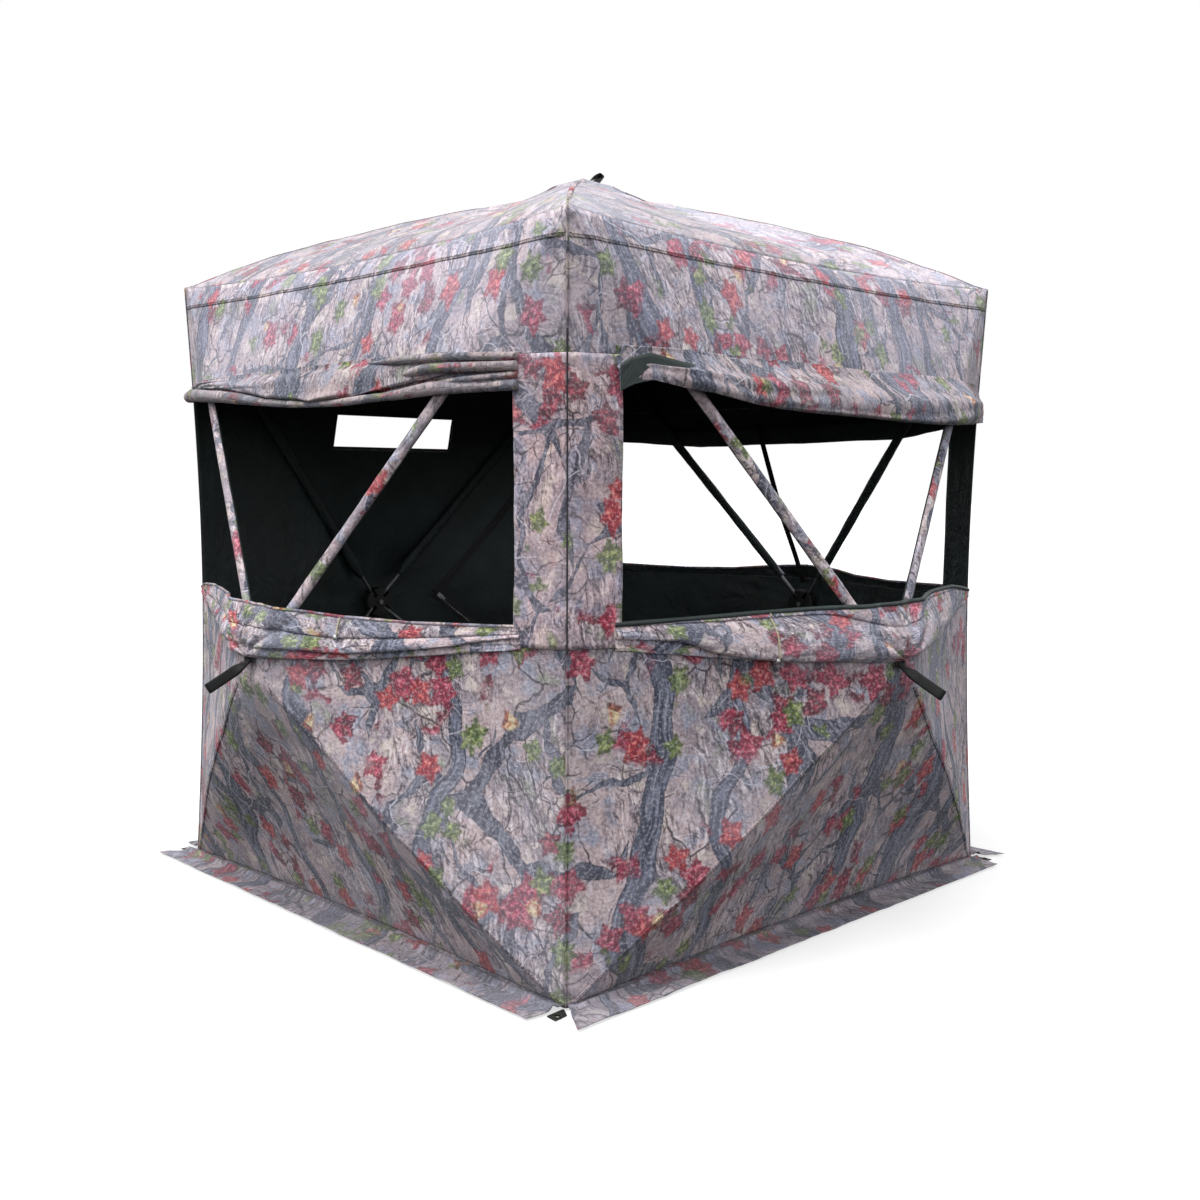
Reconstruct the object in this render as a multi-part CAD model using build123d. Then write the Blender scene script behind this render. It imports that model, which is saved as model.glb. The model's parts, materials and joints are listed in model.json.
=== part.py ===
from build123d import *
import math
import os

# Pop-up hub ground blind, square plan.
# +Z is up, origin at the centre of the footprint on the ground, millimetres.
# Front wall faces -Y, right wall +X, back wall +Y, left wall (with the door) -X.
# Each wall and the roof is a shallow four-sided fabric pyramid. Four fibreglass
# poles run from a hub at its apex towards its corners. "left" and "right" of a
# wall are as seen from outside it. Every wall part is drawn on the front wall,
# with u along +X from the hub axis, and then turned to its own wall.

# ---- overall shape ----
SIDE = 1500.0            # footprint and eave square, side
HALF = SIDE / 2
EAVE = 1530.0            # height of the top corners
HUB_Z = 632.0            # height of the wall hubs
BULGE = 238.0            # how far a wall apex stands out of the corner plane
RISE = 263.0             # roof apex above the eave
POLE_IN = 18.0           # pole pyramid lies this far inside the fabric one

# ---- fabric ----
CLOTH = 2.0              # thickness of the fabric plates
SEAM = 4.0               # gap each side of a pole line between plates
RIDGE_SETBACK = 1.5 * SEAM   # where the ridge cuts of a roof gore meet, from the apex
EDGE = 6.0               # gap to the corner, eave and ground lines
HUB_CLEAR = 105.0        # plates stop this far from a wall hub axis
ROOF_CLEAR = 140.0       # wider at the roof, where the strap lies over the cloth
ROOF_CORNER = 16.0       # roof gore stops this far short of a corner, along the eave
WIN_LOW = 660.0          # bottom of the gathered lower window cover
WIN_SILL = 755.0         # its top hem, the sill of the open window
WIN_HEAD = 1195.0        # underside of the upper fabric band
COVER_GAP = 8.0          # from the window cover to the panel below and the column
COVER_END = 14.0         # from the window cover to the corner where there is no column
COLUMN_W = 112.0         # from the corner to the inner edge of the camo strip beside it
COLUMN_GAP = 1.0         # above and below that strip
SLOT_U = (-200.0, 240.0)     # slot window in the left wall
SLOT_Z = (1117.0, 1224.0)

# ---- door, u measured towards the wall's left corner ----
DOOR_NOSE = (200.0, 650.0)   # u, z where the two sloping zip lines meet
DOOR_HINGE_U = 722.0
ZIP_GAP = 6.0            # from a zip line to the flap
FLAP_BLUNT = 38.0        # flap is cut off this far from the nose
FLAP_HINGE_GAP = 4.0     # flap to hinge line
STRIP_HINGE_GAP = 2.0    # hinge strip to hinge line
STRIP_GAP = 1.0          # hinge strip to zip lines
FRAME_SPLIT = 0.5        # frame plates stop this far from the nose height
SLIDER_ALONG = 16.0      # zip slider centre, along the lower zip line from the nose

# ---- ground skirt and corner fittings ----
SKIRT_W = 90.0           # reach of the ground flaps beyond the footprint
SKIRT_T = 3.0
# x, y of one ground flap, along the front wall
SKIRT_OUTLINE = [
    (-HALF + 5, -HALF - 2), (-HALF - 50, -HALF - SKIRT_W),
    (HALF - 15, -HALF - SKIRT_W), (HALF - 5, -HALF - 2),
]
FOOT_SIZE = (18, 18, 16)
FOOT_INSET, FOOT_Z, FOOT_FILLET = 22, 12, 4
# x, y of the stake web, from the front right corner of the footprint
WEB_OUTLINE = [(-4, -3), (-1, -48), (26, -50), (22, -17), (1, -4)]
WEB_Z, WEB_T = 0.6, 2.2
GROMMET_X, GROMMET_Y = HALF + 15, -HALF - 35
GROMMET_R, GROMMET_OUT, GROMMET_H = 6.0, 9.0, 4.0
SOCKET_SIZE, SOCKET_INSET, SOCKET_FILLET = 18, 24, 3.5

# ---- hub and cap, heights along the hub axis from the level of the pole pins ----
HUB_R = 48.0
HUB_IN, HUB_OUT = -16.0, 11.0    # inner and outer faces
HUB_CHAMFER = 3
PIVOT_R = 34.0           # pole pins, from the hub axis
PIN_R, PIN_L = 3.0, 26.0
EYE_R = 3.05             # running clearance on the pin
SLOT_START, SLOT_L, SLOT_W = 22, 50, 14.4    # pole slots, from the hub axis outward
CAP_R, CAP_OUT = 50.0, HUB_OUT + 4.0
CAP_FILLET = 2.5
BOLT_R = 4.0
BOLT_HEAD_R, BOLT_HEAD_H = 8, 2.8
NUT_R, NUT_H = 8, 6
THROUGH = 80             # longer than any part it cuts

# ---- pull strap ----
STRAP_PIN_Z = 24.0       # strap pin above the pole pins
STRAP_PIN_L = 38
EAR_U, EAR_T, EAR_W = 16, 4, 11
EAR_SINK, EAR_ABOVE = 1, 5       # into the cap, and beyond the strap pin
STRAP_W, STRAP_L = 22.0, 135.0
STRAP_NEAR_R, STRAP_FAR_R = 5.0, 9.0     # half depth of the webbing at pin and at loop end
STRAP_EYE_R = 5.2
STRAP_T = 2.6
LOOP_START, LOOP_START_R = 16, 1.6       # narrow end of the opening
WALL_DROOP, ROOF_DROOP = 22.0, 70.0      # degrees away from the outward direction
ROOF_CAP_TURN = 208      # lays the roof strap back over the cap, towards the back wall

# ---- poles ----
FERRULE_R, FERRULE_L = 6.0, 80.0     # length from the pin
FERRULE_BACK, FERRULE_CHAMFER = 7.0, 2.5     # behind the pin
ROD_R, ROD_OVERLAP = 4.75, 4.0
TIP_R, TIP_L, TIP_FILLET = 7.0, 30.0, 3
WALL_TIP_SHORT = 78.0    # wall pole ends this far short of its corner point
ROOF_TIP_SHORT = 88.0    # roof poles swing level past the corner sockets

WALLS = {"front": 0, "right": 90, "back": 180, "left": 270}     # turn about Z
SIDES = {"left": -1, "right": 1}
HAS_COLUMN = {("front", "right"), ("right", "left"), ("back", "left"), ("back", "right")}


# ---- small helpers ----
def save(name, *shapes):
    """One STEP per piece; several solids are kept apart as a group."""
    solids = [solid for shape in shapes for solid in shape.solids()]
    piece = solids[0] if len(solids) == 1 else Compound(children=solids)
    export_step(piece, f"parts/{name}.step")


def turned(shape, wall):
    return shape.rotate(Axis.Z, WALLS[wall])


def unit(x, y):
    length = math.hypot(x, y)
    return x / length, y / length


def rect(u0, u1, z0, z1):
    return [(u0, z0), (u1, z0), (u1, z1), (u0, z1)]


def clip(outline, point, normal, gap=0.0):
    """Keeps what lies more than gap beyond the line through point, towards normal."""
    base = (point[0] + normal[0] * gap, point[1] + normal[1] * gap)
    kept = []
    for i, here in enumerate(outline):
        after = outline[(i + 1) % len(outline)]
        d_here = (here[0] - base[0]) * normal[0] + (here[1] - base[1]) * normal[1]
        d_after = (after[0] - base[0]) * normal[0] + (after[1] - base[1]) * normal[1]
        if d_here >= 0:
            kept.append(here)
        if d_here * d_after < 0:
            t = d_here / (d_here - d_after)
            kept.append((here[0] + (after[0] - here[0]) * t, here[1] + (after[1] - here[1]) * t))
    return kept


def mirror_clip(outline, point, normal, gap=0.0):
    """Clips by a line and by its mirror image in the vertical axis."""
    outline = clip(outline, point, normal, gap)
    return clip(outline, (-point[0], point[1]), (-normal[0], normal[1]), gap)


# pole lines in the (u, z) elevation of a wall, right half
HUB_POINT = (0.0, HUB_Z)
UPPER_LINE = unit(HALF, EAVE - HUB_Z)
LOWER_LINE = unit(HALF, -HUB_Z)
# normals into the side facet, and out of it to the top and bottom facets
BELOW_UPPER = (UPPER_LINE[1], -UPPER_LINE[0])
ABOVE_LOWER = (-LOWER_LINE[1], LOWER_LINE[0])
ABOVE_UPPER = (-BELOW_UPPER[0], -BELOW_UPPER[1])
BELOW_LOWER = (-ABOVE_LOWER[0], -ABOVE_LOWER[1])


def wedge(outline, point, upper_gap, lower_gap):
    """Keeps the part between parallels to the two pole lines that meet at point."""
    outline = clip(outline, point, BELOW_UPPER, upper_gap)
    return clip(outline, point, ABOVE_LOWER, lower_gap)


def side_clip(outline):
    return wedge(outline, HUB_POINT, SEAM, SEAM)


# ---- plates on the facets of the fabric pyramid, thickened inward ----
def plate(points, direction, thickness=CLOTH):
    face = make_face(Polyline(*points, close=True))
    return extrude(face, amount=thickness, dir=Vector(*direction).normalized())


def side_y(u):
    return -HALF - BULGE * (1 - u / HALF)


def side_plate(outline, sign):
    points = [(sign * u, side_y(u), z) for u, z in outline]
    return plate(points, (-sign * BULGE / HALF, 1, 0))


def top_plate(outline):
    height = EAVE - HUB_Z
    points = [(u, -HALF - BULGE * (EAVE - z) / height, z) for u, z in outline]
    return plate(points, (0, 1, -BULGE / height))


def bottom_plate(outline):
    points = [(u, -HALF - BULGE * z / HUB_Z, z) for u, z in outline]
    return plate(points, (0, 1, BULGE / HUB_Z))


# ---- wall fabric above and below the hub ----
def top_panel(z_low):
    outline = rect(-HALF + EDGE, HALF - EDGE, z_low, EAVE - EDGE)
    return top_plate(mirror_clip(outline, HUB_POINT, ABOVE_UPPER, SEAM))


def slotted_top():
    cutter = Box(SLOT_U[1] - SLOT_U[0], 300, SLOT_Z[1] - SLOT_Z[0])
    centre = Pos(sum(SLOT_U) / 2, -HALF - 100, sum(SLOT_Z) / 2)
    return top_panel(HUB_Z + HUB_CLEAR) - centre * cutter


def bottom_panel():
    outline = rect(-HALF + EDGE, HALF - EDGE, EDGE, HUB_Z - HUB_CLEAR)
    return bottom_plate(mirror_clip(outline, HUB_POINT, BELOW_LOWER, SEAM))


# ---- fabric to each side of the hub ----
def window_side_panel(sign, has_column):
    """Plates below and above the window, and the strip beside the corner."""
    lower = rect(HUB_CLEAR, HALF - EDGE, EDGE, WIN_LOW - COVER_GAP)
    upper = rect(0, HALF - EDGE, WIN_HEAD, EAVE - EDGE)
    outlines = [side_clip(lower), side_clip(upper)]
    if has_column:
        column_low = WIN_LOW - COVER_GAP + COLUMN_GAP
        outlines.append(rect(HALF - COLUMN_W, HALF - EDGE, column_low, WIN_HEAD - COLUMN_GAP))
    return [side_plate(outline, sign) for outline in outlines]


def window_cover(sign, has_column):
    """Gathered lower window cover, the half on one side of the hub."""
    end = HALF - COLUMN_W - COVER_GAP if has_column else HALF - COVER_END
    return side_plate(rect(HUB_CLEAR, end, WIN_LOW, WIN_SILL), sign)


def full_side_panel():
    return side_plate(side_clip(rect(HUB_CLEAR, HALF - EDGE, EDGE, EAVE - EDGE)), 1)


# ---- door in the left half of the left wall ----
def door_frame():
    """Plates above and below the door, and the strip behind its hinge line."""
    nose_z = DOOR_NOSE[1]
    above = side_clip(rect(HUB_CLEAR, HALF - EDGE, nose_z + FRAME_SPLIT, EAVE - EDGE))
    above = clip(above, DOOR_NOSE, ABOVE_UPPER)
    below = side_clip(rect(HUB_CLEAR, HALF - EDGE, EDGE, nose_z - FRAME_SPLIT))
    below = clip(below, DOOR_NOSE, BELOW_LOWER)
    strip = rect(DOOR_HINGE_U + STRIP_HINGE_GAP, HALF - EDGE, 0, EAVE)
    strip = wedge(strip, DOOR_NOSE, STRIP_GAP, STRIP_GAP)
    return [side_plate(outline, -1) for outline in (above, below, strip)]


def door_flap():
    outline = rect(DOOR_NOSE[0] + FLAP_BLUNT, DOOR_HINGE_U - FLAP_HINGE_GAP, 0, EAVE)
    return side_plate(wedge(outline, DOOR_NOSE, ZIP_GAP, ZIP_GAP), -1)


def zip_slider():
    """H section in the gap below the door's lower edge, with a pull tab on each face."""
    slider = Box(20, 3.4, 8)
    for face in (1, -1):
        slider += Pos(0, 0, face * 3.4) * Box(20, 13, 1.8)
    for face in (1, -1):
        post = Pos(-2, 0, face * 6.0) * Box(7, 5, 3.6)
        slider += post + Pos(6, 0, face * 7.2) * Box(22, 6, 1.6)
    u, z = (
        nose + normal * ZIP_GAP / 2 + line * SLIDER_ALONG
        for nose, normal, line in zip(DOOR_NOSE, ABOVE_LOWER, LOWER_LINE)
    )
    slope = BULGE / HALF
    inward = Vector(slope, 1, 0).normalized()
    frame = Plane(
        origin=Vector(-u, side_y(u), z) + inward * (CLOTH / 2),
        x_dir=Vector(-LOWER_LINE[0], slope * LOWER_LINE[0], LOWER_LINE[1]).normalized(),
        z_dir=inward * -1,
    )
    return frame.location * slider


# ---- roof ----
def roof_gore():
    """The front one of four."""
    eave_y = -HALF + EDGE
    outline = [(-HALF + ROOF_CORNER, eave_y), (HALF - ROOF_CORNER, eave_y), (0, 0)]
    outline = clip(outline, (0, -ROOF_CLEAR), (0, -1))
    diagonal = math.sqrt(0.5)
    outline = mirror_clip(outline, (0, -RIDGE_SETBACK), (-diagonal, -diagonal))
    points = [(x, y, EAVE + RISE * (1 + y / HALF)) for x, y in outline]
    return plate(points, (0, RISE / HALF, -1))


# ---- skirt and corner fittings, at the front wall and its right corner ----
def skirt_flap():
    return plate([(x, y, 0) for x, y in SKIRT_OUTLINE], (0, 0, 1), SKIRT_T)


def corner_foot():
    foot = Pos(HALF - FOOT_INSET, -HALF + FOOT_INSET, FOOT_Z) * Box(*FOOT_SIZE)
    return fillet(foot.edges().filter_by(Axis.Z), FOOT_FILLET)


def stake_web():
    web = plate([(HALF + x, -HALF + y, WEB_Z) for x, y in WEB_OUTLINE], (0, 0, 1), WEB_T)
    return web - Pos(GROMMET_X, GROMMET_Y, 2) * Cylinder(GROMMET_OUT, 10)


def grommet():
    ring = Cylinder(GROMMET_OUT, GROMMET_H) - Cylinder(GROMMET_R, GROMMET_H)
    return Pos(GROMMET_X, GROMMET_Y, GROMMET_H / 2) * ring


def corner_socket():
    centre = Pos(HALF - SOCKET_INSET, -HALF + SOCKET_INSET, EAVE - SOCKET_INSET)
    socket = centre * Box(SOCKET_SIZE, SOCKET_SIZE, SOCKET_SIZE)
    return fillet(socket.edges(), SOCKET_FILLET)


# ---- hubs, caps, straps and poles, in the hub's own frame ----
# hub frame: Z is outward, XY is the hub plane, origin at the pins' level
def hub(angles):
    """Body with a radial slot for each pole, and the pole pins."""
    body = Pos(0, 0, (HUB_IN + HUB_OUT) / 2) * Cylinder(HUB_R, HUB_OUT - HUB_IN)
    body = chamfer(body.faces().sort_by(Axis.Z)[0].edges(), HUB_CHAMFER)
    body -= Cylinder(BOLT_R, THROUGH)
    pins = []
    for angle in angles:
        turn = Rot(0, 0, angle)
        pin = turn * Pos(PIVOT_R, 0, 0) * Rot(90, 0, 0) * Cylinder(PIN_R, PIN_L)
        body -= turn * Pos(SLOT_START + SLOT_L / 2, 0, 0) * Box(SLOT_L, SLOT_W, 60)
        body -= pin
        pins.append(pin)
    return [body] + pins


def hub_cap():
    """Cap with two ears, the bolt with its nut, and the strap pin.

    The cap lies under the cloth and its ears come through a slit."""
    cap = Pos(0, 0, (HUB_OUT + CAP_OUT) / 2) * Cylinder(CAP_R, CAP_OUT - HUB_OUT)
    cap = fillet(cap.faces().sort_by(Axis.Z)[-1].edges(), CAP_FILLET)
    ear_low, ear_high = CAP_OUT - EAR_SINK, STRAP_PIN_Z + EAR_ABOVE
    for sign in (-1, 1):
        ear = Box(EAR_T, EAR_W, ear_high - ear_low)
        cap += Pos(sign * EAR_U, 0, (ear_low + ear_high) / 2) * ear
    cap -= Cylinder(BOLT_R, THROUGH)
    across = Pos(0, 0, STRAP_PIN_Z) * Rot(0, 90, 0)
    cap -= across * Cylinder(PIN_R, THROUGH)

    bolt_in = HUB_IN - NUT_H
    bolt = Pos(0, 0, (CAP_OUT + bolt_in) / 2) * Cylinder(BOLT_R, CAP_OUT - bolt_in)
    bolt += Pos(0, 0, CAP_OUT + BOLT_HEAD_H / 2) * Cylinder(BOLT_HEAD_R, BOLT_HEAD_H)
    nut = extrude(RegularPolygon(NUT_R, 6), amount=NUT_H / 2, both=True)
    bolt += Pos(0, 0, bolt_in + NUT_H / 2) * nut
    return [cap, bolt, across * Cylinder(PIN_R, STRAP_PIN_L)]


def tapered_block(start, end, start_r, end_r, half_width):
    points = [(start, start_r), (end, end_r), (end, -end_r), (start, -start_r)]
    face = make_face(Polyline(*[(x, y, 0) for x, y in points], close=True))
    return extrude(face, amount=half_width, both=True, dir=(0, 0, 1))


def strap(droop):
    """Webbing loop on the cap pin. It points outward, dropped towards -Y."""
    # drawn along +X with its width along Z
    inner_r = STRAP_FAR_R - STRAP_T
    body = tapered_block(0, STRAP_L, STRAP_NEAR_R, STRAP_FAR_R, STRAP_W / 2)
    body += Pos(STRAP_L, 0, 0) * Cylinder(STRAP_FAR_R, STRAP_W)
    body += Cylinder(STRAP_EYE_R, STRAP_W)
    body -= tapered_block(LOOP_START, STRAP_L, LOOP_START_R, inner_r, STRAP_W)
    body -= Pos(STRAP_L, 0, 0) * Cylinder(inner_r, STRAP_W * 2)
    body -= Cylinder(EYE_R, STRAP_W * 2)
    angle = math.radians(droop)
    along = (0, -math.sin(angle), math.cos(angle))
    return Plane(origin=(0, 0, STRAP_PIN_Z), x_dir=along, z_dir=(1, 0, 0)).location * body


def x_rod(radius, start, end):
    return Pos((start + end) / 2, 0, 0) * Rot(0, 90, 0) * Cylinder(radius, end - start)


def pole(angle, reach, drop, short):
    """Pole at an angle (degrees) in the hub plane, from its pin towards a corner.

    reach: from the hub axis to the corner in the hub plane
    drop: corner below the pins
    short: the tip ends this far before the corner"""
    run = reach - PIVOT_R
    length = math.hypot(run, drop) - short
    ferrule = x_rod(FERRULE_R, -FERRULE_BACK, FERRULE_L)
    ferrule = chamfer(ferrule.faces().sort_by(Axis.X)[0].edges(), FERRULE_CHAMFER)
    rod = x_rod(ROD_R, FERRULE_L - ROD_OVERLAP, length - TIP_L + ROD_OVERLAP)
    tip = x_rod(TIP_R, length - TIP_L, length)
    tip = fillet(tip.faces().sort_by(Axis.X)[-1].edges(), TIP_FILLET)
    body = ferrule + rod + tip
    body -= Rot(90, 0, 0) * Cylinder(EYE_R, 40)

    turn = math.radians(angle)
    tilt = math.atan2(drop, run)
    cos_turn, sin_turn = math.cos(turn), math.sin(turn)
    along = Vector(cos_turn * math.cos(tilt), sin_turn * math.cos(tilt), -math.sin(tilt))
    pin_axis = Vector(-sin_turn, cos_turn, 0)
    pin_centre = (PIVOT_R * cos_turn, PIVOT_R * sin_turn, 0)
    return Plane(origin=pin_centre, x_dir=along, z_dir=along.cross(pin_axis)).location * body


def save_frame(name, place, poles, drop, short, droop, cap_turn=0):
    """Hub, cap, strap and poles; poles maps a corner to its angle and reach."""
    turn = Rot(0, 0, cap_turn)
    save(f"{name}_hub", *[place(s) for s in hub([angle for angle, _ in poles.values()])])
    save(f"{name}_hub_cap", *[place(turn * s) for s in hub_cap()])
    save(f"{name}_pull_strap", place(turn * strap(droop)))
    for corner, (angle, reach) in poles.items():
        save(f"{name}_pole_{corner}", place(pole(angle, reach, drop, short)))


# ---- build every piece ----
os.makedirs("parts", exist_ok=True)

for wall in WALLS:
    top = slotted_top() if wall == "left" else top_panel(WIN_HEAD)
    save(f"{wall}_wall_panel", turned(top, wall), turned(bottom_panel(), wall))

for wall in ("front", "right", "back"):
    for side, sign in SIDES.items():
        has_column = (wall, side) in HAS_COLUMN
        panel = window_side_panel(sign, has_column)
        save(f"{wall}_{side}_side_panel", *[turned(p, wall) for p in panel])
        save(f"{wall}_{side}_window_cover", turned(window_cover(sign, has_column), wall))

save("left_right_side_panel", turned(full_side_panel(), "left"))
save("left_left_side_panel", *[turned(p, "left") for p in door_frame()])
save("door_flap", turned(door_flap(), "left"))
save("door_zip_slider", turned(zip_slider(), "left"))

# pieces with the same solids at all four walls or corners
for name, makers in {
    "roof_panel": [roof_gore],
    "ground_skirt": [skirt_flap],
    "bottom_corner_feet": [corner_foot, stake_web],
    "stake_grommets": [grommet],
    "top_corner_sockets": [corner_socket],
}.items():
    save(name, *[turned(make(), wall) for wall in WALLS for make in makers])

wall_plane = Plane(
    origin=(0, -HALF - BULGE + POLE_IN, HUB_Z), x_dir=(1, 0, 0), z_dir=(0, -1, 0)
)
upper_angle = math.degrees(math.atan2(EAVE - HUB_Z, HALF))
lower_angle = math.degrees(math.atan2(HUB_Z, HALF))
upper_reach = math.hypot(HALF, EAVE - HUB_Z)
lower_reach = math.hypot(HALF, HUB_Z)
wall_poles = {
    "top_right": (upper_angle, upper_reach),
    "top_left": (180 - upper_angle, upper_reach),
    "bottom_left": (180 + lower_angle, lower_reach),
    "bottom_right": (-lower_angle, lower_reach),
}
for wall in WALLS:
    save_frame(
        wall, lambda s: turned(wall_plane.location * s, wall), wall_poles,
        drop=BULGE, short=WALL_TIP_SHORT, droop=WALL_DROOP,
    )

roof_angles = {"front_right": -45, "back_right": 45, "back_left": 135, "front_left": 225}
save_frame(
    "roof", lambda s: Pos(0, 0, EAVE + RISE - POLE_IN) * s,
    {corner: (angle, HALF * math.sqrt(2)) for corner, angle in roof_angles.items()},
    drop=RISE, short=ROOF_TIP_SHORT, droop=ROOF_DROOP, cap_turn=ROOF_CAP_TURN,
)
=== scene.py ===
"""Pop-up camouflage shelter: four cloth walls and a roof, each pushed out by a hub and four poles.

Metres, z up, ground at z = 0. The front wall faces -y, the right +x, the back +y, the left -x.
Wall coordinates are x along the wall, `out` outward from its flat plane, and z up.
"""
import json
import math

import bmesh
import bpy
import numpy as np
from mathutils import Matrix, Vector


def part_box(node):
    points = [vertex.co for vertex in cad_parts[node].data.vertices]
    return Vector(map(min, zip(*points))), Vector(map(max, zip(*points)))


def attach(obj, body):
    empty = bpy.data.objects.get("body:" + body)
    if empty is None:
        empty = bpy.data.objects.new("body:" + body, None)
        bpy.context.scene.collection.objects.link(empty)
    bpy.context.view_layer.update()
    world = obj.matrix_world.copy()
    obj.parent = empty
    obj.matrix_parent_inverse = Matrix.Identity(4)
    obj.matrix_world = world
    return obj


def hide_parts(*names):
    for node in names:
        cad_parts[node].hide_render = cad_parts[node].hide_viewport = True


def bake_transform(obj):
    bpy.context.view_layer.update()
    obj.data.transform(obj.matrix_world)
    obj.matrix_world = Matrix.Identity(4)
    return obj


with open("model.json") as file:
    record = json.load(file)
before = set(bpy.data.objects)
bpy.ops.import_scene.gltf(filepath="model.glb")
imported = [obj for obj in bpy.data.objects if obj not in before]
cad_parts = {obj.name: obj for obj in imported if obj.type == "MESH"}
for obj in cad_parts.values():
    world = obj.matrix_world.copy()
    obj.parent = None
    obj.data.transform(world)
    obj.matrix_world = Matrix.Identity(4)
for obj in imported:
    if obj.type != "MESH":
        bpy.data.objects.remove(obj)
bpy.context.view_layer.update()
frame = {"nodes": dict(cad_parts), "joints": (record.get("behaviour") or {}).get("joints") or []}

# ------------------------------------------------------------------ dimensions
JOINTS = {joint["name"]: joint for joint in frame["joints"]}
HALF = round(abs(JOINTS["front_right_side_panel_fold"]["pos_m"][0]), 4)  # half the side length
EAVE = round(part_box("roof_panel")[0].z, 3)
HUB_Z = round(sum(corner.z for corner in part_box("front_hub")) / 2, 4)    # wall hub height
BULGE = abs(JOINTS["front_hub_pop"]["range_m"][0]) / 2                   # wall hub, outward
RISE = abs(JOINTS["roof_hub_pop"]["range_m"][0]) / 2                     # roof hub, above eave
POLE_DEPTH = 0.018          # pole centre line behind the cloth
PIVOT_REACH = 0.034         # hub centre to pole hinge
STEP = 0.012        # mesh size of the cloth

WALL_ANGLE = {"front": 0.0, "right": 90.0, "back": 180.0, "left": 270.0}
WALLS = list(WALL_ANGLE)
CLOTH_START = {"front": -HALF, "right": HALF, "back": 4.3, "left": 8.1}  # print place of x = 0

STRIP_WIDTH = 0.112         # corner strip beside a window
SEAM_Z = 1.255              # lower edge of the band under the eave
SILL_Z = 0.715              # upper edge of the lower cloth in a window
INNER_END = HALF - STRIP_WIDTH
# window openings, x from and to; the left wall has a door and a slot instead
OPEN = {"front": (-HALF, INNER_END + 0.004), "right": (-INNER_END - 0.004, HALF),
        "back": (-INNER_END - 0.004, INNER_END + 0.004)}
SLOT = (-0.200, 0.240, 1.117, 1.224)    # left wall slot: x from, to, z from, to
# triangular door in the left wall's -x half: apex at (-DOOR_X, DOOR_Z), hinge at -DOOR_HINGE
DOOR_X, DOOR_Z, DOOR_HINGE = 0.200, 0.650, 0.722
COVER_ROOT_Z = 0.643        # where creases of the lower window covers meet

# directions square to the upper and lower pole lines of a wall's +x half
UPPER_NORMAL = np.array([EAVE - HUB_Z, -HALF]) / math.hypot(HALF, EAVE - HUB_Z)
LOWER_NORMAL = np.array([HUB_Z, HALF]) / math.hypot(HALF, HUB_Z)

CAMERA_AT = np.array([2.5462, -2.3999, 1.0192])


# ------------------------------------------------------------------ helpers
def place(wall, x, out, z):
    """Wall coordinates to points in the frame."""
    x, out, z = np.broadcast_arrays(x, out, z)
    angle = math.radians(WALL_ANGLE[wall])
    cosine, sine = math.cos(angle), math.sin(angle)
    y = -(HALF + out)
    return np.stack([cosine * x - sine * y, sine * x + cosine * y, z], -1)


OUTWARD = {wall: place(wall, 0, 1, 0) - place(wall, 0, 0, 0) for wall in WALLS}


def smooth(start, end, x):
    share = np.clip((np.asarray(x, float) - start) / (end - start), 0, 1)
    return share * share * (3 - 2 * share)


def fall(distance, length, power=1):
    """1 at no distance, falling off over a length; power 2 gives a bell."""
    return np.exp(-(distance / length) ** power)


def unit(vectors):
    return vectors / np.linalg.norm(vectors, axis=-1, keepdims=True)


def run_length(points):
    """Distance travelled along each row of points."""
    steps = np.linalg.norm(np.diff(points, axis=-2), axis=-1)
    return np.concatenate([np.zeros_like(steps[..., :1]), np.cumsum(steps, -1)], -1)


class Perlin:
    """Gradient noise on a repeating 64 by 64 lattice."""

    def __init__(self, seed):
        angle = np.random.default_rng(seed).uniform(0, 2 * math.pi, (64, 64))
        self.slope_x, self.slope_y = np.cos(angle), np.sin(angle)

    def __call__(self, x, y):
        x, y = np.broadcast_arrays(np.asarray(x, float), np.asarray(y, float))
        cell_x, cell_y = np.floor(x).astype(int), np.floor(y).astype(int)
        part_x, part_y = x - cell_x, y - cell_y

        def corner(i, j):
            at = (cell_x + i) % 64, (cell_y + j) % 64
            return self.slope_x[at] * (part_x - i) + self.slope_y[at] * (part_y - j)

        def ease(t):
            return t * t * t * (t * (t * 6 - 15) + 10)

        ease_x, ease_y = ease(part_x), ease(part_y)
        first = corner(0, 0) * (1 - ease_x) + corner(1, 0) * ease_x
        second = corner(0, 1) * (1 - ease_x) + corner(1, 1) * ease_x
        return (first * (1 - ease_y) + second * ease_y) * 1.5

    def octaves(self, x, y):
        """Three layers, each half as strong and about twice as fine."""
        total, strength, scale = 0.0, 1.0, 1.0
        for k in range(3):
            total = total + strength * self(x * scale + 7.3 * k, y * scale - 3.1 * k)
            strength, scale = strength * 0.5, scale * 2.03
        return total


NOISE = {name: Perlin(11 + i) for i, name in enumerate(WALLS + ["roof"])}


# ------------------------------------------------------------------ cloth shape
def reach_from_hub(x, z):
    """0 at the hub, 1 on the wall's outline."""
    x, z = np.asarray(x, float), np.asarray(z, float)
    height = np.where(z > HUB_Z, (z - HUB_Z) / (EAVE - HUB_Z), (HUB_Z - z) / HUB_Z)
    return np.maximum(np.abs(x) / HALF, height)


def plateau(reach, flat=0.072, joined=0.30):
    """Reach with a flat top at the hub, back to plain reach at `joined`."""
    sloped = (reach - flat) * joined / (joined - flat)
    return np.where(reach < flat, 0.0, np.where(reach < joined, sloped, reach))


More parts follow.
